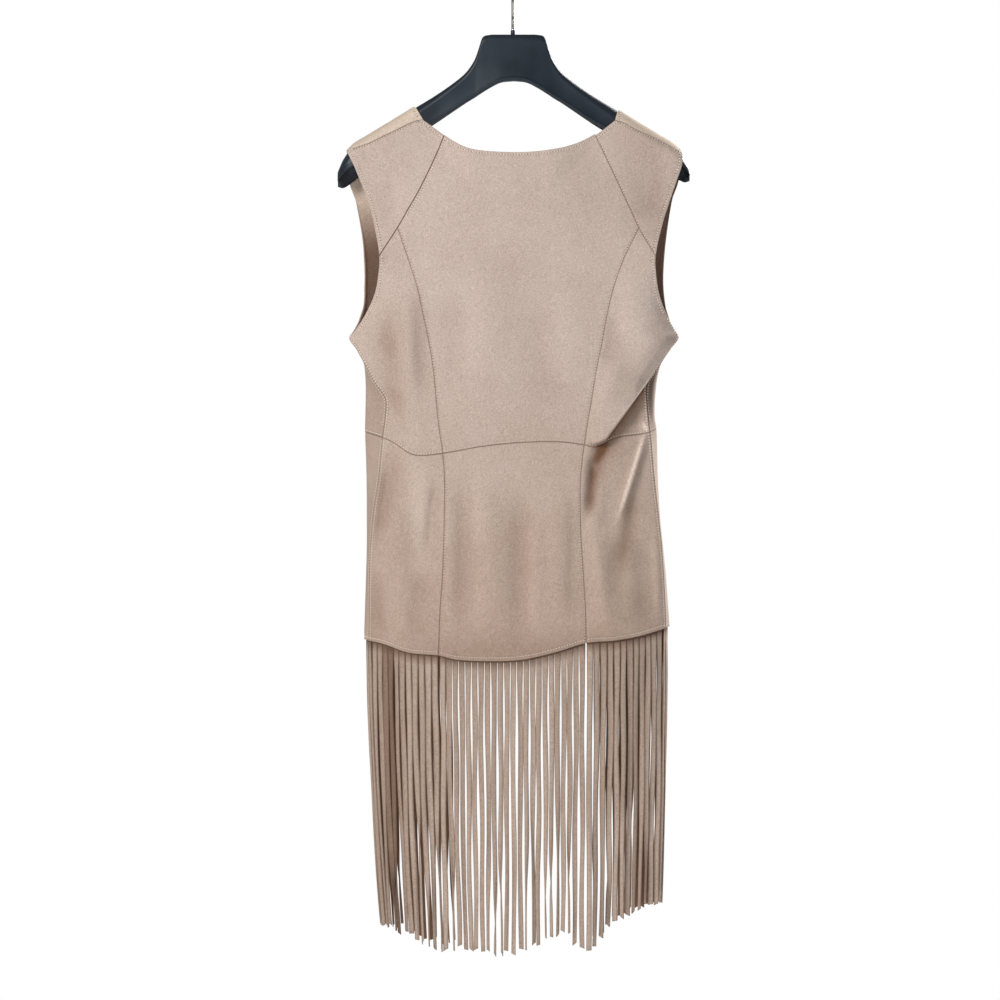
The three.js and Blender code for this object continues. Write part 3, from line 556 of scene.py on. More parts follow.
# A curve through five values at the fronts' knots: a cubic between two of them with the
# chord's slope at each.
def throughFive(t, values):
    knots = frontKnots
    i = np.clip(np.searchsorted(knots, t, side="right") - 1, 0, 3)
    stack = np.stack(np.broadcast_arrays(*values))
    pick = lambda k: np.take_along_axis(stack, k[None], 0)[0]
    slope = lambda k: ((pick(np.minimum(k + 1, 4)) - pick(np.maximum(k - 1, 0)))
                       / (knots[np.minimum(k + 1, 4)] - knots[np.maximum(k - 1, 0)]))
    span = knots[i + 1] - knots[i]
    return cubic(pick(i), slope(i), pick(i + 1), slope(i + 1), span, (t - knots[i]) / span)


# One level of a front, from its side edge (t = 0) round to its opening (t = 1), with two
# slow waves that grow towards the hem. Above the underarm it starts at the armhole and
# below it at the side seam, with a turn round the side between.
def frontLevel(side, t, drop):
    t, drop = np.broadcast_arrays(t, drop)
    sign = -1 if side == "left" else 1
    opening, front = edgeX(frontOpeningRows, side, drop), depthOf("front", drop)
    near = smooth((drop - armholeTurnDrop) / (underarmDrop - armholeTurnDrop))
    armholeX = edgeX(frontEdgeRows, side, drop)
    armholeY = mix(front * 0.72, depthOf("sideSeam", underarmDrop), near)
    cornerX = edgeX(silhouetteRows, side, np.full_like(drop, underarmDrop, float))
    seamX = edgeX(backEdgeRows, side, drop)
    above = drop < underarmDrop
    startX = np.where(above, armholeX, seamX)
    startY = np.where(above, armholeY, backDepth(seamX - sign * 0.01, drop))
    atArmhole = mix(armholeX, cornerX, near) - sign * 2 * (1 - near)
    turnX = np.where(above, atArmhole, edgeX(silhouetteRows, side, drop))
    silhouetteY = depthOf("silhouette", np.maximum(drop, underarmDrop))
    turnY = mix(front * 0.8, silhouetteY, smooth((drop - armholeTurnDrop) / 90))
    x = throughFive(t, [startX, turnX, mix(turnX, opening, 0.22), mix(turnX, opening, 0.6), opening])
    y = throughFive(t, [startY, turnY, front * 0.9, front, front * 0.96])
    phase = 0.4 if side == "left" else 2.1
    sway = np.sin(t * 9 + phase) * 4 + np.sin(t * 17 + phase * 3 + drop / 190) * 1.6
    sway = sway * smooth((drop - 380) / 240) * smooth((t - 0.3) / 0.2)
    return x, y + sway


# Where a seam that runs across crosses the front's line t, by repeated substitution.
def frontSeamDrop(side, t, rows):
    drop = np.full(np.shape(t), rows["drop"][0])
    for _ in range(12):
        drop = across(rows, frontLevel(side, t, drop)[0])
    return drop


frontAcross, shoulderAcross = 110, 150     # rough widths, which turn a gap into a share


# A front goes up from its lower seam to the arm, over the ridge on half an ellipse, and
# straight down behind it where the seam is lower still.
def frontUpper(side):
    tip, neck = shoulderEnds[side]

    def patch(a, b, gap):
        t = 1 - a if side == "left" else a
        t = mix(gap / frontAcross, 1 - gap / frontAcross, t)
        xTop = mix(tip, neck, t)
        foot = arm(xTop, "ridge") + crownHeight(xTop)
        share = clamp01(b / frontRise)
        drop = mix(frontSeamDrop(side, t, waistRows) - gap, foot, share)
        hangX, hangY = frontLevel(side, t, drop)
        x = mix(hangX, xTop, smooth((foot + 45 - drop) / 45))
        onArmY = arm(x, "bow") + arm(x, "halfDepth") + layOff(x)
        y = mix(hangY, onArmY, smooth((arm(x, "farEdge") + 118 - drop) / 115))
        over = clamp01((b - frontRise) / (1 - frontRise))
        xSeam = mix(tip, seamNeck[side], t)
        xOver = mix(xTop, xSeam, over ** 2)
        tall, half = crownHeight(xOver) + layOff(xOver), arm(xOver, "halfDepth") + layOff(xOver)
        top = arm(xOver, "ridge") - layOff(xOver)
        seamDrop = across(shoulderSeamRows, xSeam) - gap
        seamUp = clamp01((top + tall - seamDrop) / tall)
        straight = np.maximum(0, seamDrop - top - tall)
        ellipse = np.pi * np.hypot(tall, half) * np.sqrt(0.5)
        bent = ellipse / (ellipse + straight)
        angle = (np.pi - np.arcsin(seamUp)) * clamp01(over / bent)
        further = straight * clamp01((over - bent) / (1 - bent + 1e-9))
        below = b <= frontRise
        return (
            np.where(below, x, xOver),
            np.where(below, y, arm(xOver, "bow") + half * np.cos(angle)),
            np.where(below, drop, top + tall * (1 - np.sin(angle)) + further),
        )
    return patch


# A front below the waist seam: its levels between the seam and the hem.
def frontLower(side):
    def patch(a, b, gap):
        t = 1 - a if side == "left" else a
        t = mix(gap / frontAcross, 1 - gap / frontAcross, t)
        top = frontSeamDrop(side, t, waistRows) + gap
        bottom = frontSeamDrop(side, t, hemRows) - gap
        drop = mix(bottom, top, b)
        return (*frontLevel(side, t, drop), drop)
    return patch


# A back panel between two edges by drop and two seams by x, each moved in by the gap. A
# row may be held on a line across it, where its edges have a corner or the cloth a fold.
def backPanel(leftEdge, rightEdge, topSeam, bottomSeam, cornerShare=None, cornerLine=None):
    def patch(a, b, gap):
        a, b = np.broadcast_arrays(a, b)
        x, drop = np.zeros(a.shape), np.full(a.shape, 400.0)
        for _ in range(24):
            bottom, top = bottomSeam(x) - gap, topSeam(x) + gap
            if cornerShare is None:
                drop = mix(bottom, top, b)
            else:
                corner = cornerLine(x)
                drop = np.where(b < cornerShare, mix(bottom, corner, b / cornerShare),
                                mix(corner, top, (b - cornerShare) / (1 - cornerShare)))
            x = mix(leftEdge(drop) + gap, rightEdge(drop) - gap, a)
        return x, backDepth(x, drop), drop
    return patch


# A shoulder panel fans from the neck to the armhole between the slanting raglan seam and
# the shoulder seam, with closer rows where the cloth bends over the arm.
def shoulderPanel(side):
    outward = -1 if side == "left" else 1
    tip = shoulderEnds[side][0]

    def patch(a, b, gap):
        a, b = np.broadcast_arrays(a, b)
        share = gap / shoulderAcross
        along = mix(share, 1 - share, 1 - a if side == "left" else a)
        lowDrop = mix(182.5, armholeRaglanDrop - gap, along)
        lowX = edgeX(raglanRows, side, lowDrop) + outward * gap * 1.5
        highX = mix(seamNeck[side], tip, along)
        rise = 1 - (1 - b) ** 1.8
        drop = mix(lowDrop, across(shoulderSeamRows, highX) + gap, rise)
        edgeDrop = mix(armholeRaglanDrop, across(shoulderSeamRows, tip), rise)
        straight = mix(edgeX(raglanRows, side, np.array(armholeRaglanDrop)), tip, rise)
        bulge = edgeX(backEdgeRows, side, edgeDrop) - straight
        x = mix(lowX, highX, rise) + bulge * along ** 2
        return x, backDepth(x, drop), drop
    return patch


# The x of an edge by drop.
def edgeOf(rows, side):
    return lambda drop: edgeX(rows, side, drop)


# The drop of a seam by x.
def seamOf(rows):
    return lambda x: across(rows, x)


# The centre's edge: the raglan seam down to where the princess seam starts.
def raglanOrPrincess(side):
    raglan, princess = edgeOf(raglanRows, side), edgeOf(princessRows, side)
    return lambda drop: np.where(drop < princessDrop, raglan(drop), princess(drop))


# The raglan seam again, as a seam that runs across.
def raglanByX(side):
    order = slice(None, None, -1) if side == "left" else slice(None)
    return seamOf({"x": raglanRows[side][order], "drop": raglanRows["drop"][order]})


waist, hem, neckline = (seamOf(rows) for rows in (waistRows, hemRows, necklineRows))


# Meshes

# An object with these points in m and these faces, one array for each number of corners,
# and with an attribute's values for its points.
def makeMesh(name, points, faces, attributes=None):
    mesh = bpy.data.meshes.new(name)
    mesh.vertices.add(len(points))
    mesh.vertices.foreach_set("co", np.ascontiguousarray(points, np.float32).ravel())
    sizes = np.array([len(f) for f in faces])
    loops = np.concatenate([f.ravel() for f in faces])
    counts = np.concatenate([np.full(len(f), f.shape[1]) for f in faces])
    mesh.loops.add(len(loops))
    mesh.loops.foreach_set("vertex_index", loops.astype(np.int32))
    mesh.polygons.add(int(sizes.sum()))
    starts = np.concatenate([[0], np.cumsum(counts)[:-1]])
    mesh.polygons.foreach_set("loop_start", starts.astype(np.int32))
    mesh.polygons.foreach_set("use_smooth", np.ones(len(counts), bool))
    for key, values in (attributes or {}).items():
        attribute = mesh.attributes.new(key, "FLOAT", "POINT")
        attribute.data.foreach_set("value", values.astype(np.float32).ravel())
    mesh.update(calc_edges=True)
    mesh.validate()
    piece = bpy.data.objects.new(name, mesh)
    bpy.context.scene.collection.objects.link(piece)
    return piece


# Quads of a grid of points, rows by columns, that face the way rows cross columns.
def gridFaces(rows, columns, start=0):
    index = np.arange(rows * columns).reshape(rows, columns) + start
    return np.stack([index[:-1, :-1], index[:-1, 1:], index[1:, 1:], index[1:, :-1]], -1).reshape(-1, 4)


# A run of shares from 0 to 1, close together by both ends where the edge rolls over.
def sharesAlong(length, marks=()):
    near = np.array([0, 0.5, 1.1, 1.8, 2.6, 3.6, 4.8, 6.4, 8.4]) / length
    inner = np.linspace(near[-1], 1 - near[-1], max(3, int((length - 17) / cloth["grid"])))
    return np.unique(np.concatenate([near, inner, 1 - near, *marks]))


# Unit normals of a grid: the cross product of its two directions.
def gridNormals(points):
    along = np.gradient(points, axis=1)
    up = np.gradient(points, axis=0)
    normal = np.cross(along, up)
    return normal / np.maximum(np.linalg.norm(normal, axis=-1, keepdims=True), 1e-12)


# A grid turned so that its first direction runs along one side and its second inwards
# from it; turning it again by turnBack gives the grid as it was.
def turnTo(values, side):
    grid = values if side in ("left", "right") else values.swapaxes(0, 1)
    return grid[:, ::-1] if side in ("right", "top") else grid


# Its undoing.
def turnBack(values, side):
    grid = values[:, ::-1] if side in ("right", "top") else values
    return grid if side in ("left", "right") else grid.swapaxes(0, 1)


# Distance from one side of a grid, in mm: the length along the grid's lines from that
# side, times the sine of the angle that they meet it at. Also the length along the side.
def fromSide(points, side):
    grid = turnTo(points, side)
    steps = np.linalg.norm(np.diff(grid, axis=1), axis=-1)
    inward = np.concatenate([np.zeros((len(grid), 1)), np.cumsum(steps, 1)], 1)
    rim = np.gradient(grid[:, 0], axis=0)
    start = grid[:, 1] - grid[:, 0]
    sine = np.linalg.norm(np.cross(rim, start), axis=-1) / np.maximum(
        np.linalg.norm(rim, axis=-1) * np.linalg.norm(start, axis=-1), 1e-12)
    length = np.concatenate([[0], np.cumsum(np.linalg.norm(np.diff(grid[:, 0], axis=0), axis=-1))])
    inward = inward * sine[:, None]
    length = np.broadcast_to(length[:, None], inward.shape)
    return turnBack(inward, side), turnBack(length, side)


# Edges of a wall with an outer and an inner grid, one after the other in the vertices.
def rimFaces(rows, columns):
    index = np.arange(rows * columns).reshape(rows, columns)
    rim = np.concatenate([index[0, :-1], index[:-1, -1], index[-1, :0:-1], index[:0:-1, 0]])
    after = np.roll(rim, -1)
    inner = rows * columns
    return np.stack([rim, rim + inner, after + inner, after], -1)


# A wall's outside, its inside turned the other way, and its edges.
def wallFaces(rows, columns):
    outer = gridFaces(rows, columns)
    return [outer, outer[:, ::-1] + rows * columns, rimFaces(rows, columns)]


# The height of a panel's outside over its wall, from its sides: the edge rolls down like
# a quarter circle, each row of stitches draws a groove, and sewing leaves ripples that
# die away within a finger's breadth. The lift raises an edge over the one sewn under it.
# Its tones are painted shade: in the seams, along each row's groove, and on the inside along the turned
# band's edge.
def panelRelief(points, a, b, sides, seed):
    relief = np.zeros(points.shape[:2])
    inside = np.zeros(points.shape[:2])
    tone = np.ones(points.shape[:2])
    innerTone = np.ones(points.shape[:2])
    for number, (side, plan) in enumerate(sides.items()):
        inward, length = fromSide(points, side)
        share = b[:, None] if side in ("left", "right") else a[None, :]
        t = clamp01(1 - inward / cloth["seamRollWidth"])
        relief -= plan.get("roll", cloth["seamRoll"]) * (1 - np.sqrt(np.maximum(0, 1 - t * t)))
        relief += plan.get("lift", 0) * np.exp(-inward / 3)
        width = plan.get("shadeWidth", cloth["shadeWidth"])
        # Painted shade in the seam, darkest at the panel's edge.
        shade = mix(plan.get("shade", cloth["seamShade"]), 1, smooth(inward / width))
        tone = np.minimum(tone, shade)
        ripples = ripple(length / 6.5, seed + number * 2.4) * np.exp(-inward / 8) * smooth(inward / 3)
        relief += cloth["pucker"] * plan.get("pucker", 1) * ripples
        for inset, start, end, *_ in plan.get("stitches", ()):
            here = smooth((share - start) / 0.015) * smooth((end - share) / 0.015)
            groove = bell((inward - inset) / 0.8) * here
            relief -= cloth["stitchGroove"] * groove
            # Painted shade in the row's groove.
            tone -= sewing["grooveShade"] * groove
        if "free" in plan:
            start, end = plan["free"]
            here = smooth((share - start) / 0.03 + 0.5) * smooth((end - share) / 0.03 + 0.5)
            inside += cloth["turnedStep"] * smooth((cloth["turnedBand"] - inward) / 1.5) * here
            # Painted shade on the inside where the turned band's edge steps.
            innerTone -= 0.75 * bell((inward - cloth["turnedBand"] - 0.6) / 0.9) * here
    return relief, np.minimum(inside, cloth["turnedStep"]), tone, innerTone


# A row of topstitching at an inset from one side: a line is read off the panel's outside
# where its distance from the side is the inset, and stitches are spaced evenly on it.
def stitchFrames(outer, normals, share, side, inset, start, end, kind="raised"):
    inward = turnTo(fromSide(outer, side)[0], side)
    kept = (share >= start) & (share <= end)
    inward, grid, out = (turnTo(v, side)[kept] for v in (turnBack(inward, side), outer, normals))
    i = np.clip((inward < inset).sum(1) - 1, 0, inward.shape[1] - 2)
    row = np.arange(len(i))
    t = ((inset - inward[row, i]) / (inward[row, i + 1] - inward[row, i]))[:, None]
    line = mix(grid[row, i], grid[row, i + 1], t)
    marks = np.concatenate([[0], np.cumsum(np.linalg.norm(np.diff(line, axis=0), axis=1))])
    at = np.arange(sewing["pitch"], marks[-1] - sewing["pitch"] / 2, sewing["pitch"])
    sample = lambda values: np.stack([np.interp(at, marks, values[:, k]) for k in range(3)], -1)
    unit = lambda values: values / np.maximum(np.linalg.norm(values, axis=-1, keepdims=True), 1e-9)
    along = unit(sample(np.gradient(line, axis=0)))
    return sample(line), along, unit(sample(out[row, i])), sewing[kind]


# Each stitch is a six-sided bar with sunk ends: four rings along the seam, each a circle
# across it.
def stitchBars(centre, along, normal, looks):
    beside = np.cross(along, normal)
    turn = np.arange(6) * np.pi / 3
    places = np.array([-1, -0.6, 0.6, 1])[:, None] * sewing["length"] / 2
    sizes = np.array([0.45, 1, 1, 0.45])[:, None] * looks["thread"]
    sinks = np.array([-0.8, 0.3, 0.3, -0.8])[:, None] * looks["thread"]
    middle, ahead, up, aside = (values[:, None, None] for values in (centre, along, normal, beside))
    rings = (middle + ahead * places[..., None] + up * (np.cos(turn) * sizes + sinks)[..., None]
             + aside * (np.sin(turn) * sizes)[..., None])
    return rings.reshape(len(centre), 24, 3)


# Each needle hole is a flat dark cone half a pitch on from a stitch, the painted shade in
# the hole: a rim of six points and a tip.
def stitchHoles(centre, along, normal, looks):
    beside = np.cross(along, normal)
    turn = np.arange(6) * np.pi / 3
    middle = centre + along * sewing["pitch"] / 2 + normal * 0.12
    rim = (centre + along * sewing["pitch"] / 2 - normal * 0.1)[:, None] + looks["hole"] * (
        np.cos(turn)[:, None] * along[:, None] + np.sin(turn)[:, None] * beside[:, None])
    return np.concatenate([rim, middle[:, None]], 1)


# Faces of bars of four rings of six points, and then of cones of six points and a tip:
# the bars' sides and ends, and the cones' sides and bases.
def sewingFaces(bars, holes):
    corner = np.arange(6)
    after = (corner + 1) % 6
    sides = np.concatenate([np.stack([corner, after, after + 6, corner + 6], -1) + 6 * k for k in range(3)])
    ends = np.stack([corner[::-1], corner + 18])
    fan = np.stack([after, corner, corner * 0 + 6], -1)
    shift = np.arange(bars)[:, None, None] * 24
    holeShift = np.arange(holes)[:, None, None] * 7 + bars * 24
    return [(sides + shift).reshape(-1, 4), (ends + shift).reshape(-1, 6),
            (fan + holeShift).reshape(-1, 3), (corner + holeShift).reshape(-1, 6)]


# Materials

# An sRGB hex value as the linear colour that a shader takes: below 0.04045 a twelfth, and
# above it a power of 2.4.
def linear(hexValue, alpha=1.0):
    parts = np.array([int(hexValue[i:i + 2], 16) for i in (1, 3, 5)]) / 255
    low = parts <= 0.04045
    return (*np.where(low, parts / 12.92, ((parts + 0.055) / 1.055) ** 2.4), alpha)


# A node with its settings; an input is a value or the output that it is linked to.
def addNode(tree, kind, inputs=None, **settings):
    node = tree.nodes.new("ShaderNode" + kind)
    for key, value in settings.items():
        setattr(node, key, value)
    for key, value in (inputs or {}).items():
        socket = node.inputs[key]
        if isinstance(value, bpy.types.NodeSocket):
            tree.links.new(value, socket)
        else:
            socket.default_value = value
    return node


# An empty material and its node tree.
def newMaterial(name):
    material = bpy.data.materials.new(name)
    material.use_nodes = True
    material.node_tree.nodes.clear()
    return material, material.node_tree


# The shader with these inputs, led to the material's output.
def finishMaterial(tree, inputs):
    shader = addNode(tree, "BsdfPrincipled", inputs)
    addNode(tree, "OutputMaterial", {"Surface": shader.outputs[0]})


# Split suede, buffed on its outside: no gloss, a short nap that lies in soft patches and
# lights up a little at grazing angles. The real nap is 0.3 mm long and too fine to show,
# so its grain is drawn 1.6 mm coarse. Each pattern has its size in mm, detail, roughness
# and squash along the height.
suedeLooks = {
    "blotch": (70, 2, 0.55, 1),
    "mottle": (9, 4, 0.65, 1),
    "grain": (1.6, 2, 0.8, 1),
    "fibre": (4, 3, 0.6, 0.3),
    "grainTone": 1.15,
    "sheen": 0.18,
    "roughness": 0.95,
    "bump": 0.3,
}


# The light and the dark colour blend by blotches with mottling and fibres, and turn into
# the lower pair as the height goes through the fade. That is multiplied by the shaded
# colour where the piece's tone is nought, by white where it is one, and by the grain. The
# tone attribute holds painted shade and painted highlights, with each strand's own tone.
def buffedSuede(name, light, dark, lowLight, lowDark, shaded, fade=(-0.38, -0.82)):
    material, tree = newMaterial(name)
    place = addNode(tree, "TexCoord").outputs["Object"]
    patterns = []
    for key in ("blotch", "mottle", "grain", "fibre"):
        size, detail, rough, squash = suedeLooks[key]
        combed = addNode(tree, "Mapping", {"Vector": place, "Scale": (1.0, 1.0, squash)}).outputs[0]
        patterns.append(addNode(tree, "TexNoise", {
            "Vector": combed, "Scale": 1000 / size, "Detail": detail, "Roughness": rough}).outputs["Fac"])
    blotch, mottle, grain, fibre = patterns
    broad = addNode(tree, "Math", {0: blotch, 1: 0.9, 2: 0.05}, operation="MULTIPLY_ADD").outputs[0]
    middle = addNode(tree, "Math", {0: mottle, 1: 0.5, 2: -0.25}, operation="MULTIPLY_ADD").outputs[0]
    streak = addNode(tree, "Math", {0: fibre, 1: 0.6, 2: -0.3}, operation="MULTIPLY_ADD").outputs[0]
    some = addNode(tree, "Math", {0: middle, 1: streak}, operation="ADD").outputs[0]
    tone = addNode(tree, "Math", {0: broad, 1: some}, operation="ADD", use_clamp=True).outputs[0]
    height = addNode(tree, "SeparateXYZ", {"Vector": place}).outputs["Z"]
    lower = addNode(tree, "MapRange", {"Value": height, "From Min": fade[0], "From Max": fade[1]},
                    interpolation_type="SMOOTHSTEP").outputs[0]
    # The tone attribute: painted shade and painted highlights, with the strands' own tones.
    toneWithPaintedLight = addNode(tree, "Attribute", attribute_name="tone").outputs["Fac"]
    low, high = 1 - suedeLooks["grainTone"] / 2, 1 + suedeLooks["grainTone"] / 2
    speck = addNode(tree, "MapRange", {"Value": grain, "To Min": low, "To Max": high}).outputs[0]
    above, below = [
        addNode(tree, "Mix", {"Factor": tone, "A": linear(a), "B": linear(b)}, data_type="RGBA").outputs[2]
        for a, b in ((dark, light), (lowDark, lowLight))]
    colour = addNode(tree, "Mix", {"Factor": lower, "A": above, "B": below}, data_type="RGBA").outputs[2]
    shade = addNode(tree, "Mix", {"Factor": toneWithPaintedLight, "A": linear(shaded), "B": linear("#ffffff")},
                    data_type="RGBA", clamp_factor=False).outputs[2]
    for factor in (shade, speck):
        colour = addNode(tree, "Mix", {"Factor": 1.0, "A": colour, "B": factor},
                         data_type="RGBA", blend_type="MULTIPLY").outputs[2]
    nap = addNode(tree, "Math", {0: mottle, 1: 1.6, 2: grain}, operation="MULTIPLY_ADD").outputs[0]
    bump = addNode(tree, "Bump", {"Height": nap, "Strength": suedeLooks["bump"], "Distance": 0.0006})
    finishMaterial(tree, {
        "Base Color": colour, "Roughness": suedeLooks["roughness"], "IOR": 1.45,
        "Specular IOR Level": 0.2, "Sheen Weight": suedeLooks["sheen"], "Sheen Roughness": 0.45,
        "Sheen Tint": linear("#eadfd6"), "Normal": bump.outputs[0]})
    return material


# Spun polyester topstitching thread, a shade lighter than the suede and softly shiny. The
# needle holes' painted shade uses it too, in a dark colour, as dark dots between its stitches.
def sewingThread(name, colour):
    material, tree = newMaterial(name)
    finishMaterial(tree, {
        "Base Color": linear(colour), "Roughness": 0.6, "IOR": 1.5, "Specular IOR Level": 0.4})
    return material


# Injection-moulded polystyrene, near black with a blue cast: a satin skin with a faint
# moulded grain of about 0.8 mm, and broad soft flow marks in its gloss.
def mouldedPolystyrene(name):
    material, tree = newMaterial(name)
    place = addNode(tree, "TexCoord").outputs["Object"]
    flow = addNode(tree, "TexNoise", {"Vector": place, "Scale": 1000 / 40, "Detail": 3.0}).outputs["Fac"]
    grain = addNode(tree, "TexNoise", {"Vector": place, "Scale": 1000 / 0.8, "Detail": 1.0}).outputs["Fac"]
    colour = addNode(tree, "Mix", {"Factor": flow, "A": linear("#171d24"), "B": linear("#252e37")},
                     data_type="RGBA")
    gloss = addNode(tree, "MapRange", {
        "Value": flow, "From Min": 0.3, "From Max": 0.7, "To Min": 0.33, "To Max": 0.45}).outputs[0]
    bump = addNode(tree, "Bump", {"Height": grain, "Strength": 0.08, "Distance": 0.0002})
    finishMaterial(tree, {
        "Base Color": colour.outputs[2], "Roughness": gloss, "IOR": 1.59, "Specular IOR Level": 0.35,
        "Specular Tint": linear("#d3e0ea"), "Normal": bump.outputs[0]})
    return material


# Bright nickel-plated steel wire, drawn: a mirror with faint marks 1.5 mm apart in its gloss.
def platedWire(name):
    material, tree = newMaterial(name)
    place = addNode(tree, "TexCoord").outputs["Object"]
    marks = addNode(tree, "TexNoise", {"Vector": place, "Scale": 1000 / 1.5, "Detail": 2.0}).outputs["Fac"]
    gloss = addNode(tree, "MapRange", {"Value": marks, "To Min": 0.14, "To Max": 0.3}).outputs[0]
    finishMaterial(tree, {"Base Color": linear("#b9b8b4"), "Metallic": 1.0, "Roughness": gloss})
    return material


suedeBack = buffedSuede("buffed_suede_back", "#cbbcb1", "#bba99d", "#bba99d", "#a89280", "#9c7a5e")
suedeFront = buffedSuede(
    "buffed_suede_front", "#dacaba", "#cdbcaa", "#bdab9e", "#ab9788", "#6f5a4d", (-0.2, -0.36))
suedeStrands = buffedSuede("buffed_suede_strands", "#c2b1a5", "#ac9a8d", "#baa99b", "#a38f80", "#967f6d")
threadLight = sewingThread("polyester_thread", "#f2e8dc")
needleHoleShade = sewingThread("needle_holes_in_shade", "#33271f")
hangerPlastic = mouldedPolystyrene("moulded_polystyrene")
hookWire = platedWire("nickel_plated_wire")


# Gives a piece its material and body, and hides the CAD node that it stands for.
def dress(piece, material, node=None):
    piece.data.materials.append(material)
    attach(piece, "root")
    if node:
        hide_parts(node)
    return piece


# Names the second material of a piece on some of its faces.
def secondMaterial(piece, material, faces):
    piece.data.materials.append(material)
    piece.data.polygons.foreach_set("material_index", faces.astype(np.int32))


# Hanger: one hollow arch carried from tip to tip, with a thick rolled rim along the lower
# edge of its near side

# One closed section at each x: half an ellipse over the crown from the near edge to the
# far one with a small rim rolled outwards at both, and back along the hollow inside.
def hangerSection(x):
    x = x[:, None]
    ridge, near, far = arm(x, "ridge"), arm(x, "nearEdge"), arm(x, "farEdge")
    half, bow, crown = arm(x, "halfDepth"), arm(x, "bow"), crownHeight(x)
    reach = np.abs(x - hangerSizes["shift"])
    roundFrom = hangerSizes["reach"] - hangerSizes["tipRound"]
    end = np.sqrt(np.maximum(0.02, 1 - clamp01((reach - roundFrom) / hangerSizes["tipRound"]) ** 2))
    half = half * mix(0.55, 1, end)
    inHalf = np.maximum(1.5, half - hangerSizes["wall"])
    deep = mix(hangerSizes["groove"], near - ridge - hangerSizes["wall"], smooth((reach - 55) / 30))
    inTop, inCrown = near - deep, np.minimum(crown, deep * 0.6)
    angle = np.linspace(0, np.pi, hangerSizes["crownPoints"] * 2 + 1)[None]
    over = [bow - half * np.cos(angle), ridge + crown * (1 - np.sin(angle))]
    under = [bow - inHalf * np.cos(angle[:, ::-1]), inTop + inCrown * (1 - np.sin(angle[:, ::-1]))]
    high, out = hangerSizes["rimHigh"], hangerSizes["rimOut"]
    rimDrops = np.array([0.2, 0.9, 2.0, high - 1.6, high - 0.6, high, high + 0.5])[None]
    rimOuts = np.array([0.2, 0.75, 1, 1, 0.7, 0.15, 0])[None] * out
    nearY, nearDrop = bow - half - rimOuts, near - rimDrops
    farY, farDrop = bow + half + rimOuts[:, ::-1] * 0.6, far - rimDrops[:, ::-1]
    y = np.concatenate([nearY, over[0], farY, bow + inHalf, under[0], bow - inHalf], 1)
    drop = np.concatenate([nearDrop, over[1], farDrop, far, under[1], near], 1)
    return np.stack([np.broadcast_to(x, y.shape), y, -drop], -1)


# Quads between closed rings that follow one another.
def loftFaces(rings, sides):
    index = np.arange(rings * sides).reshape(rings, sides)
    around = np.roll(index, -1, axis=1)
    return np.stack([index[:-1], index[1:], around[1:], around[:-1]], -1).reshape(-1, 4)


# The first ring and the last, each as one face that looks away from the others.
def loftEnds(rings, sides):
    ring = np.arange(sides)
    return np.stack([ring, ring[::-1] + (rings - 1) * sides])


# A closed mesh through rings in mm.
def makeLoft(name, rings):
    count, sides = rings.shape[:2]
    return makeMesh(name, rings.reshape(-1, 3) * mm, [loftFaces(count, sides), loftEnds(count, sides)])


# Sections from tip to tip, closer together towards the tips.
def makeHanger():
    lean = np.linspace(-1, 1, hangerSizes["stations"])
    x = hangerSizes["shift"] + hangerSizes["reach"] * np.sign(lean) * np.abs(lean) ** 0.92
    return makeLoft("hanger_arms_moulded", hangerSection(x))


dress(makeHanger(), hangerPlastic, "hanger_arms")


# Hook: a round wire along an arc and a smooth curve down into the hanger
hook = {
    "wire": 3.8,           # thickness
    "bend": 19,            # radius of the arc, to the wire's middle
    "start": -35,          # the arc's first angle and how far it turns, in degrees
    "sweep": 250,
    "collar": 2.7,         # radius of the hanger's plastic round the wire
    "collarLow": -1,       # its heights over the hanger's top
    "collarHigh": 5.2,
    "plasticHigh": 6,      # faces below this are plastic, with the collar's shoulder
    "arcStations": 40,
    "stemStations": 9,
    "sides": 20,
}
stemRows = np.array([[0, -9, -36.5], [0, -2.6, -43], [0, 0, -52], [0, 0, -64], [0, 0, -76]])


# A curve through points, each stretch a cubic whose ends slope as the chord beside them.
def curveThrough(points, each):
    padded = np.concatenate([2 * points[:1] - points[1:2], points, 2 * points[-1:] - points[-2:-1]])
    t = np.linspace(0, 1, each, endpoint=False)[None, :, None]
    p0, p1, p2, p3 = (padded[k:len(padded) - 3 + k][:, None] for k in range(4))
    curve = 0.5 * (2 * p1 + (p2 - p0) * t + (2 * p0 - 5 * p1 + 4 * p2 - p3) * t ** 2
                   + (3 * p1 - p0 - 3 * p2 + p3) * t ** 3)
    return np.concatenate([curve.reshape(-1, 3), points[-1:]])


# The wire's middle line, which stays in one plane across X.
def hookPath():
    angle = np.radians(hook["start"] + np.linspace(0, hook["sweep"], hook["arcStations"]))
    centre = -(hook["bend"] - hook["wire"] / 2)
    arc = np.stack([angle * 0, hook["bend"] * np.cos(angle), centre + hook["bend"] * np.sin(angle)], -1)
    stem = curveThrough(np.concatenate([arc[-1:], stemRows]), hook["stemStations"])
    return np.concatenate([arc, stem[1:]])


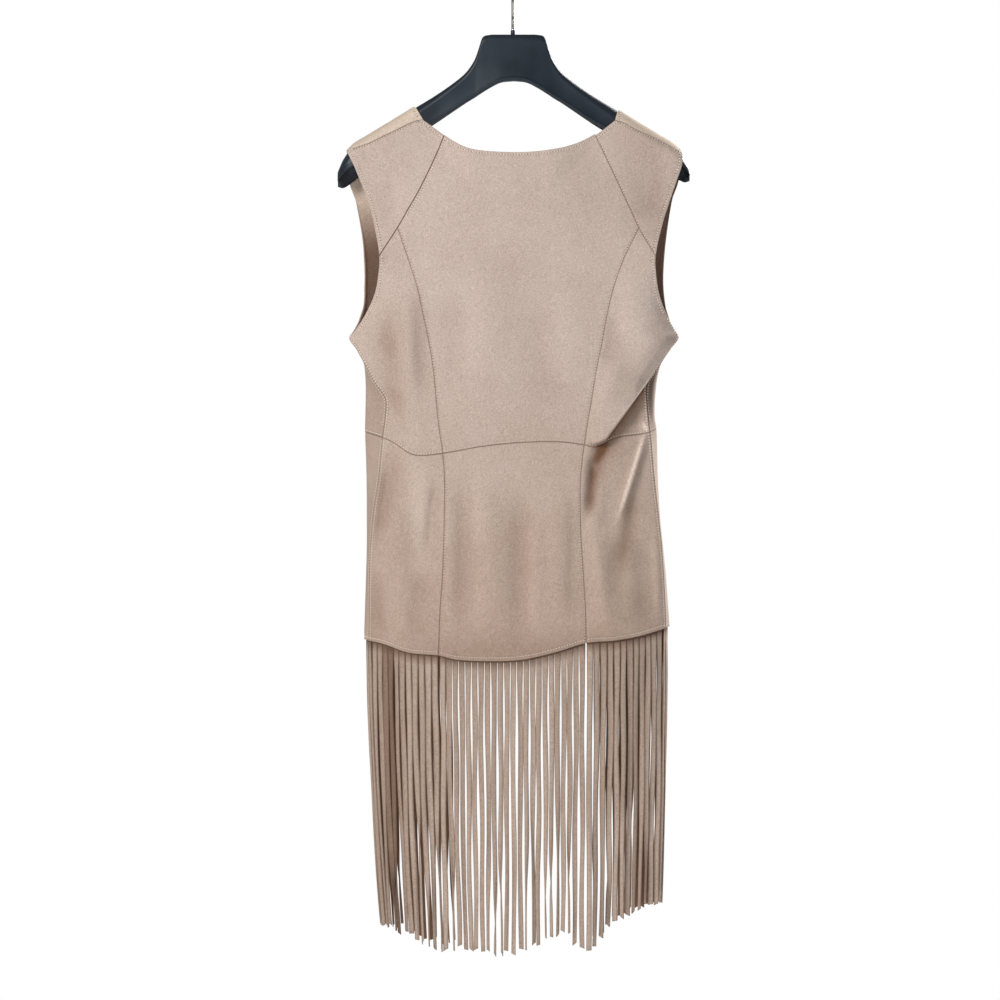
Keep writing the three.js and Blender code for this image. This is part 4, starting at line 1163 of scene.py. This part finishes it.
# Circles carried along the path: the first ones close up into a rounded end, and those
# at the collar's heights are wider.
def makeHook():
    path = hookPath()
    tangent = np.gradient(path, axis=0)
    tangent /= np.linalg.norm(tangent, axis=1, keepdims=True)
    outward = np.cross(tangent, [1.0, 0, 0])
    run = np.concatenate([[0], np.cumsum(np.linalg.norm(np.diff(path, axis=0), axis=1))])
    radius = np.full(len(path), hook["wire"] / 2)
    ball = 1 - clamp01(run / (hook["wire"] / 2))
    radius *= np.sqrt(np.maximum(0.01, 1 - ball ** 2))
    above = path[:, 2] + hangerSizes["top"]
    collar = (above > hook["collarLow"]) & (above < hook["collarHigh"])
    radius = np.where(collar, hook["collar"], radius)
    turn = np.linspace(0, 2 * np.pi, hook["sides"], endpoint=False)[None, :, None]
    ring = np.cos(turn) * outward[:, None] + np.sin(turn) * np.array([1.0, 0, 0])
    return makeLoft("hanger_hook_wire", path[:, None] + radius[:, None, None] * ring)


hookPiece = dress(makeHook(), hookWire, "hanger_hook")
centres = np.empty(len(hookPiece.data.polygons) * 3, np.float32)
hookPiece.data.polygons.foreach_get("center", centres)
heights = centres[2::3].astype(float) / mm + hangerSizes["top"]
secondMaterial(hookPiece, hangerPlastic, (heights > hook["collarLow"]) & (heights < hook["plasticHigh"]))
print("Hanger and hook made")


# Cloth panels

# Stitches in rows as one mesh: bars of thread and, of another material, the needle holes' painted shade.
def makeStitching(name, rows):
    bars = np.concatenate([stitchBars(*row) for row in rows])
    holes = np.concatenate([stitchHoles(*row) for row in rows])
    spots = np.concatenate([bars.reshape(-1, 3), holes.reshape(-1, 3)]) * mm
    faces = sewingFaces(len(bars), len(holes))
    thread = dress(makeMesh("stitching_" + name, spots, faces), threadLight)
    ofThread = len(faces[0]) + len(faces[1])
    secondMaterial(thread, needleHoleShade, np.arange(len(thread.data.polygons)) >= ofThread)
    return thread


# A panel's flat width and height in m and its area in m2: its longest row, its longest
# column, and the parallelograms of its grid's cells added up.
def flatSize(points):
    wide = np.linalg.norm(np.diff(points, axis=1), axis=-1).sum(1).max() * mm
    tall = np.linalg.norm(np.diff(points, axis=0), axis=-1).sum(0).max() * mm
    ahead = points[:-1, 1:] - points[:-1, :-1]
    below = points[1:, :-1] - points[:-1, :-1]
    return (wide, tall), np.linalg.norm(np.cross(ahead, below), axis=-1).sum() * mm * mm


# A wall along the normals of a patch: its outside half the wall and the relief away, and
# its inside as far the other way, tucked a little under its neighbours. The sides are
# dictionaries: stitches as inset from the side, first share, last share and kind, and
# what panelRelief reads.
def makePanel(name, patch, size, sides, material, slot, shares=(), seed=1.0):
    a, b = sharesAlong(size[0]), sharesAlong(size[1], shares)
    x, y, drop = patch(a[None, :], b[:, None], cloth["gap"] / 2)
    points = np.stack([x, y, -drop], -1)
    normals = gridNormals(points)
    relief, inside, tone, innerTone = panelRelief(points, a, b, sides, seed)
    if name.startswith("back"):
        tone = tone * paintedShadeAndHighlight(x, drop)
    if name.startswith("front"):
        tone, innerTone = tone * sideShade(x, y, drop), innerTone * insideShade(x, drop)
    outer = points + normals * (cloth["wall"] / 2 + relief)[..., None]
    x2, y2, drop2 = patch(a[None, :], b[:, None], -cloth["tuck"])
    inner = np.stack([x2, y2, -drop2], -1) - normals * (cloth["wall"] / 2 + inside)[..., None]
    both = np.concatenate([outer.reshape(-1, 3), inner.reshape(-1, 3)]) * mm
    tones = np.concatenate([tone.ravel(), innerTone.ravel()])
    piece = makeMesh(name + "_suede", both, wallFaces(*x.shape), {"tone": tones})
    dress(piece, material, name)
    rows = [stitchFrames(outer, normals, b if side in ("left", "right") else a, side, *row)
            for side, plan in sides.items() for row in plan.get("stitches", ())]
    sewn = [makeStitching(name, rows)] if rows else []
    return piece, sewn, *flatSize(points)


overSeam = {"stitches": [(2.0, 0, 1)], "lift": 0.45}
underSeam = {"pucker": 0.6, "lift": -0.25, "roll": 0.6, "shade": 0.5}
turnedEdge = {"stitches": [(4.2, 0, 1)], "free": (0, 1), "pucker": 0.35, "shade": 0.9}
turnedNeck = {**turnedEdge, "stitches": [(3.4, 0, 1)]}
princessOver = {"pucker": 0.8, "stitches": [(1.5, 0, 1, "sunk")], "lift": 0.12}
princessUnder = {"pucker": 0.9, "lift": -0.12, "shade": 0.7}
deepSeam = {"pucker": 0.5, "roll": 1.1, "shade": 0, "shadeWidth": 1.4}
sunkSeam = {"pucker": 0.5, "stitches": [(1.0, 0, 1, "sunk")]}


# The same drop at every x.
def levelLine(drop):
    return lambda x: np.full_like(x, drop)


# What differs between the two sides: the share of a back side's outer edge at the
# armhole's lower end, where its fold lies, the shoulder's lower seam, and the seeds of the
# ripples on the back side, its lower part, the shoulder, the front and its lower part.
sidePlans = {
    "left": {"corner": 0.5, "foldShare": 0.5, "foldLine": levelLine(425.0), "shoulder": deepSeam,
             "seeds": (3.1, 5.2, 7.3, 9.7, 11.3)},
    "right": {"corner": 0.59, "foldShare": 0.34, "foldLine": overhangDrop, "shoulder": sunkSeam,
              "seeds": (4.3, 6.1, 8.4, 10.6, 12.9)},
}
foldRows = np.array([-8, -5, -3, -1.8, -1, -0.4, 0, 0.4, 1, 1.8, 3, 5, 8]) / 220   # mm in 220 from the fold
panels = {}


# Makes a panel and keeps it under its name.
def addPanel(name, *args, **options):
    panels[name] = makePanel(name, *args, **options)
    print("Panel", name, len(panels[name][0].data.polygons), "faces")


addPanel(
    "back_center_upper",
    backPanel(raglanOrPrincess("left"), raglanOrPrincess("right"), neckline, waist,
              0.7, levelLine(princessDrop)),
    (290, 385),
    {"left": {**princessOver, "stitches": [(1.5, 0, 0.7, "sunk"), (2.6, 0.72, 1)]},
     "right": {**princessOver, "stitches": [(1.5, 0, 0.7, "sunk")]},
     "bottom": overSeam, "top": turnedNeck},
    suedeBack, "suede_back", shares=([0.7],), seed=1.0,
)
addPanel(
    "back_center_lower",
    backPanel(edgeOf(princessRows, "left"), edgeOf(princessRows, "right"), waist, hem),
    (178, 260),
    {"left": princessOver, "right": princessOver, "bottom": turnedEdge, "top": underSeam},
    suedeBack, "suede_back", seed=2.2,
)
for side, inner in (("left", "right"), ("right", "left")):
    plan = sidePlans[side]
    corner, seeds = plan["corner"], plan["seeds"]
    edges = [edgeOf(backEdgeRows, side), edgeOf(princessRows, side)]
    if side == "right":
        edges.reverse()
    addPanel(
        f"back_side_upper_{side}",
        backPanel(*edges, raglanByX(side), waist, plan["foldShare"], plan["foldLine"]),
        (95, 240),
        {side: {"shade": 0.8, "stitches": [(2.2, 0.02, corner), (4.6, corner + 0.03, 0.98)],
                "free": (corner, 1)},
         inner: princessUnder, "bottom": overSeam, "top": {"pucker": 0.5, "shade": 0.6}},
        suedeBack, "suede_back", shares=(plan["foldShare"] + foldRows,), seed=seeds[0],
    )
    addPanel(
        f"back_side_lower_{side}", backPanel(*edges, waist, hem), (95, 250),
        {side: {"stitches": [(2.2, 0, 1)], "shade": 0.85}, inner: princessUnder,
         "bottom": turnedEdge, "top": underSeam},
        suedeBack, "suede_back", seed=seeds[1],
    )
    addPanel(
        f"back_shoulder_{side}", shoulderPanel(side), (160, 150),
        {side: turnedEdge, inner: turnedNeck, "bottom": plan["shoulder"],
         "top": {"pucker": 0.5, "stitches": [(1.6, 0, 1, "sunk")]}},
        suedeBack, "suede_back", seed=seeds[2],
    )
    addPanel(
        f"front_upper_{side}", frontUpper(side), (150, 460),
        {inner: {"stitches": [(2.2, 0.02, 0.25), (4.6, 0.27, 0.99)], "free": (0.26, 1)},
         side: turnedEdge, "bottom": overSeam, "top": {"pucker": 0.6}},
        suedeFront, "suede_front", seed=seeds[3],
    )
    addPanel(
        f"front_lower_{side}", frontLower(side), (160, 250),
        {inner: {"stitches": [(2.2, 0, 1)], "shade": 0.75}, side: turnedEdge,
         "bottom": turnedEdge, "top": underSeam},
        suedeFront, "suede_front", seed=seeds[4],
    )


# Fringe: strands cut from a strip that hangs behind the hem

# Points by share s along the back's hem between two x, and below it.
def backHem(start, end):
    def point(s, below):
        x = mix(start, end, s)
        drop = hem(x) + below - cloth["gap"] / 2
        return x, backDepth(x, drop), drop
    return point


# Points by share s along a front's hem, left to right, and below it.
def frontHem(side):
    def point(s, below):
        t = 1 - s if side == "left" else s
        drop = frontSeamDrop(side, t, hemRows) + below - cloth["gap"] / 2
        return (*frontLevel(side, t, drop), drop)
    return point


# A place on the strip: the wall above the hem moved to its inside, and straight down
# below the hem. Also the hem's direction, seen from above.
def onStrip(hemPoint, s, below):
    s, below = np.broadcast_arrays(np.asarray(s, float), np.asarray(below, float))
    high = np.minimum(below, 0)
    x, y, drop = hemPoint(s, high)
    aheadX, aheadY, _ = hemPoint(np.minimum(1, s + 0.02), high)
    behindX, behindY, _ = hemPoint(np.maximum(0, s - 0.02), high)
    length = np.hypot(aheadX - behindX, aheadY - behindY)
    alongX, alongY = (aheadX - behindX) / length, (aheadY - behindY) / length
    into = cloth["wall"] / 2 + fringe["clear"] + fringe["thick"] / 2
    return x - alongY * into, y + alongX * into, drop + np.maximum(below, 0), alongX, alongY


# The strip's length, the strands' pitch and their roots: as many as fit in the length,
# each in the middle of its share.
def strandRoots(hemPoint):
    s = np.linspace(0, 1, 400)
    x, y, drop, _, _ = onStrip(hemPoint, s, 0)
    steps = np.sqrt(np.diff(x) ** 2 + np.diff(y) ** 2 + np.diff(drop) ** 2)
    marks = np.concatenate([[0], np.cumsum(steps)])
    count = int(marks[-1] / fringe["pitch"])
    pitch = marks[-1] / count
    places = np.interp((np.arange(count) + 0.5) * pitch, marks, s)
    return marks[-1], pitch, onStrip(hemPoint, places, fringe["root"] - 1)


# The angle of a strand's width, seen from above: the hem's at its root, and added to it a
# turn that grows downwards, for some a late turn edge-on, and a slight wave.
def strandAngles(n, down, alongX, alongY):
    late = wobble(n, 5)
    slow = wobble(n, 1) * 0.75 * smooth((down - 0.06) / 0.94)
    from55 = smooth((down - 0.55 - 0.15 * wobble(n, 6)) / 0.3)
    edgeOn = np.sign(late) * 1.5 * smooth((np.abs(late) - 0.35) / 0.4) * from55
    wave = 0.16 * np.sin(down * (7 + 3 * wobble(n, 7)) + n * 1.9) * smooth(down / 0.2)
    return np.arctan2(alongY, alongX) + (slow + edgeOn + wave)


# The middle of a strand: its root, and by powers of the way down a sway along the hem
# with its neighbours, a swing away from it, a lean of the outer ones and a little curl.
def strandMiddles(n, down, rootX, rootY, rootDrop, alongX, alongY):
    tipDrop = across(strandTipRows, rootX) + 5 * wobble(n, 4)
    left, right = (amount * (np.abs(rootX) / reach) ** 1.6
                   for amount, reach in (fringe["leanLeft"], fringe["leanRight"]))
    lean = np.where(rootX < 0, left, right)
    sway = wobble(n // 3, 2) * 2.4 + wobble(n, 8) * 1.1
    away = wobble(n // 4, 3) * 3 + wobble(n, 9) * 1.5
    curl = 0.7 * np.sin(down * (9 + 4 * wobble(n, 10)) + n * 2.7) * smooth(down / 0.3)
    x = rootX + (sway * alongX + lean) * down ** 1.7 + curl * alongX
    y = rootY + (sway * alongY + away) * down ** 2 + curl * alongY
    return x, y, mix(rootDrop, tipDrop, down)


# Whether a root is one of the middle ones.
def inMiddle(rootX):
    low, high = fringe["middle"]
    return (rootX > low) & (rootX < high)


# Half a strand's width: nearly half the pitch at its root and then its own, which gets a
# sixth less towards the tip and waves a little.
def strandHalves(n, down, rootX, pitch):
    full = np.where(inMiddle(rootX), fringe["width"], fringe["widthBeside"]) / 2
    full = full * (1 - 0.35 * bell((rootX - fringe["slit"]) / fringe["slitWide"]))
    half = mix(pitch * 0.48, full, smooth(down / 0.1)) * mix(1, 0.84, down)
    return half * (1 + 0.07 * np.sin(down * 13 + n * 3.1))


# A strand's section, a flat ribbon with soft corners: across it as shares of half its
# width, and through it in mm.
ribbonWide = np.array([-1, -0.93, -0.5, 0, 0.5, 0.93, 1, 0.93, 0.5, 0, -0.5, -0.93])
ribbonThick = np.array([0, -1, -1, -1, -1, -1, 0, 1, 1, 1, 1, 1]) * fringe["thick"] / 2


# Sections of each strand from root to tip, bent into a shallow trough by the square of the
# way across, turned by the angle, and cut aslant at the tip.
def strandRings(n, down, pitch, root):
    angle = strandAngles(n, down, *root[3:])[..., None]
    x, y, drop = (values[..., None] for values in strandMiddles(n, down, *root))
    wide = strandHalves(n, down, root[0], pitch)[..., None] * ribbonWide
    cup = (0.5 + 0.6 * np.abs(wobble(n, 11))) * np.sign(wobble(n, 12)) * smooth(down / 0.15)
    through = ribbonThick + cup[..., None] * (ribbonWide ** 2 - 0.3)
    slant = wobble(n, 13)[None, :, None] * ribbonWide * 2.2 * (down[..., None] > 0.999)
    rings = [x + wide * np.cos(angle) - through * np.sin(angle),
             y + wide * np.sin(angle) + through * np.cos(angle), -(drop + slant)]
    return np.stack(rings, -1).swapaxes(0, 1)


# Tones of the strands' points: each strand's own, with painted shade where they hang in shade,
# on the inner face of the fronts' strands where they hang in front behind the back's, as dark
# lines on the cut edges between strands, and as a painted shadow just under the hem.
def strandTones(n, down, rootX, rootY, front):
    # Painted shade on the strands that hang in shade by the dark x.
    dark = bell((rootX - fringe["dark"]) / fringe["darkWide"])
    toneWithPaintedLight = (0.95 + 0.12 * wobble(n, 14)) * (1 - 0.85 * dark)
    # Painted shade on the inner face of the fronts' strands that hang in front, behind the back's.
    shadedFace = (np.sign(ribbonThick) * 0.44 + 0.44)[None, :]
    shadeBehind = shadedFace * front * smooth((rootY - 2) / 16)[:, None]
    # Painted shade as dark lines on the cut edges, where neighbours touch.
    betweenShade = mix(0.5, 0.2, inMiddle(rootX))[:, None, None]
    edges = 1 - (np.abs(ribbonWide) > 0.9) * betweenShade
    # A painted shadow just under the hem.
    hemShadow = mix(0.25, 1, smooth((down - 0.001) / 0.014)).T[..., None]
    return (toneWithPaintedLight[:, None, None] * (1 - shadeBehind)[:, None] * edges * hemShadow).ravel()


# The strip as a wall: its middle surface moved by half its thickness either way.
def stripWall(hemPoint, length):
    a = np.linspace(0, 1, max(8, int(length / 4)))
    below = np.linspace(fringe["root"], -fringe["top"], 5)[:, None]
    x, y, drop, alongX, alongY = onStrip(hemPoint, a[None, :], below)
    half = fringe["thick"] / 2
    sides = [np.stack([x - alongY * out, y + alongX * out, -drop], -1) for out in (-half, half)]
    return np.stack(sides).reshape(-1, 3), wallFaces(*x.shape)


# Strands one after another and the strip behind them, as one mesh.
def makeFringe(name, hemPoint, seed):
    length, pitch, root = strandRoots(hemPoint)
    n = np.arange(len(root[0])) + seed
    down = np.linspace(0, 1, fringe["steps"] + 1)[:, None] ** 0.9
    rings = strandRings(n, down, pitch, root)
    count, levels, sides = rings.shape[:3]
    strip, stripFaces = stripWall(hemPoint, length)
    shift = np.arange(count)[:, None, None] * levels * sides
    faces = [(one[None] + shift).reshape(-1, one.shape[1])
             for one in (loftFaces(levels, sides), loftEnds(levels, sides))]
    faces += [face + count * levels * sides for face in stripFaces]
    tones = strandTones(n, down, root[0], root[1], "front" in name)
    piece = makeMesh(
        f"{name}_strands", np.concatenate([rings.reshape(-1, 3), strip]) * mm, faces,
        {"tone": np.concatenate([tones, np.full(len(strip), fringe["stripShade"])])})
    print("Fringe", name, count, "strands")
    return dress(piece, suedeStrands, name)


fringes = {
    "back_center_lower": makeFringe("fringe_back_center", backHem(-88, 86.8), 11),
    "back_side_lower_left": makeFringe("fringe_back_left", backHem(-170.5, -89.4), 101),
    "back_side_lower_right": makeFringe("fringe_back_right", backHem(88.2, 180.5), 201),
    "front_lower_left": makeFringe("fringe_front_left", frontHem("left"), 301),
    "front_lower_right": makeFringe("fringe_front_right", frontHem("right"), 401),
}

# Each panel's flat width and height in m and its area
for name, (piece, sewn, size, area) in panels.items():
    print("Sheet", name, [round(v, 3) for v in size], round(area, 4))


# Floor, light and camera
studio = {
    "floor": (2.4, -1.52, 96),              # radius and height in m, and corners
    "camera": (-0.0156, -6.02, -0.6204),    # it looks along Y
    "lens": (180, 36),                      # focal length and sensor in mm
    "skyLight": 0.22,
}


# A flat disc below the vest.
def makeFloor():
    radius, height, corners = studio["floor"]
    turn = np.linspace(0, 2 * np.pi, corners, endpoint=False)
    rim = np.stack([radius * np.cos(turn), radius * np.sin(turn), turn * 0 + height], -1)
    floor = makeMesh("studio_floor", rim, [np.arange(corners)[None]])
    material, tree = newMaterial("pale_matt_floor")
    finishMaterial(tree, {"Base Color": linear("#f2f1ef"), "Roughness": 0.9})
    floor.data.materials.append(material)


# Turns a camera or a light so that it looks from its place at the target.
def aim(thing, target):
    away = np.array(thing.location) - target
    thing.rotation_mode = "QUATERNION"
    thing.rotation_quaternion = mathutils.Vector(away).to_track_quat("Z", "Y")


# A rectangular light of this size in m and power in W.
def softLight(name, place, target, size, power, colour="#ffffff"):
    data = bpy.data.lights.new(name, "AREA")
    data.shape, data.size, data.size_y = "RECTANGLE", *size
    data.energy = power
    data.color = linear(colour)[:3]
    light = bpy.data.objects.new(name, data)
    light.location = place
    aim(light, np.array(target))
    bpy.context.scene.collection.objects.link(light)


# A white world that lights the pieces with less than the camera sees.
def makeWorld():
    world = bpy.data.worlds.new("white_studio")
    world.use_nodes = True
    tree = world.node_tree
    tree.nodes.clear()
    seen = addNode(tree, "LightPath").outputs["Is Camera Ray"]
    strength = addNode(tree, "Mix", {"Factor": seen, "A": studio["skyLight"], "B": 1.0}).outputs[0]
    sky = addNode(tree, "Background", {"Color": linear("#ffffff"), "Strength": strength})
    addNode(tree, "OutputWorld", {"Surface": sky.outputs[0]})
    bpy.context.scene.world = world


# The photo's view: level, from the garment's back, and as wide as its frame.
def makeCamera():
    data = bpy.data.cameras.new("camera")
    data.lens, data.sensor_width = studio["lens"]
    camera = bpy.data.objects.new("camera", data)
    camera.location = studio["camera"]
    x, _, z = studio["camera"]
    aim(camera, np.array([x, 0, z]))
    bpy.context.scene.collection.objects.link(camera)
    bpy.context.scene.camera = camera


makeFloor()
softLight("key", (-1.9, -2.7, 1.15), (0, 0, -0.6), (1.1, 1.1), 93, "#fffaf8")
softLight("fill", (-0.3, -3.2, -0.2), (0, 0, -0.65), (1.2, 1.2), 7, "#f6f8ff")
softLight("bounce", (0.2, -2.2, -1.35), (0, 0, -0.3), (1.6, 0.5), 6, "#f6f8ff")
softLight("rim", (1.4, 1.45, 0.35), (0.15, 0, -0.55), (0.8, 1.8), 85)
makeWorld()
makeCamera()
bpy.context.scene.view_settings.view_transform = "Standard"
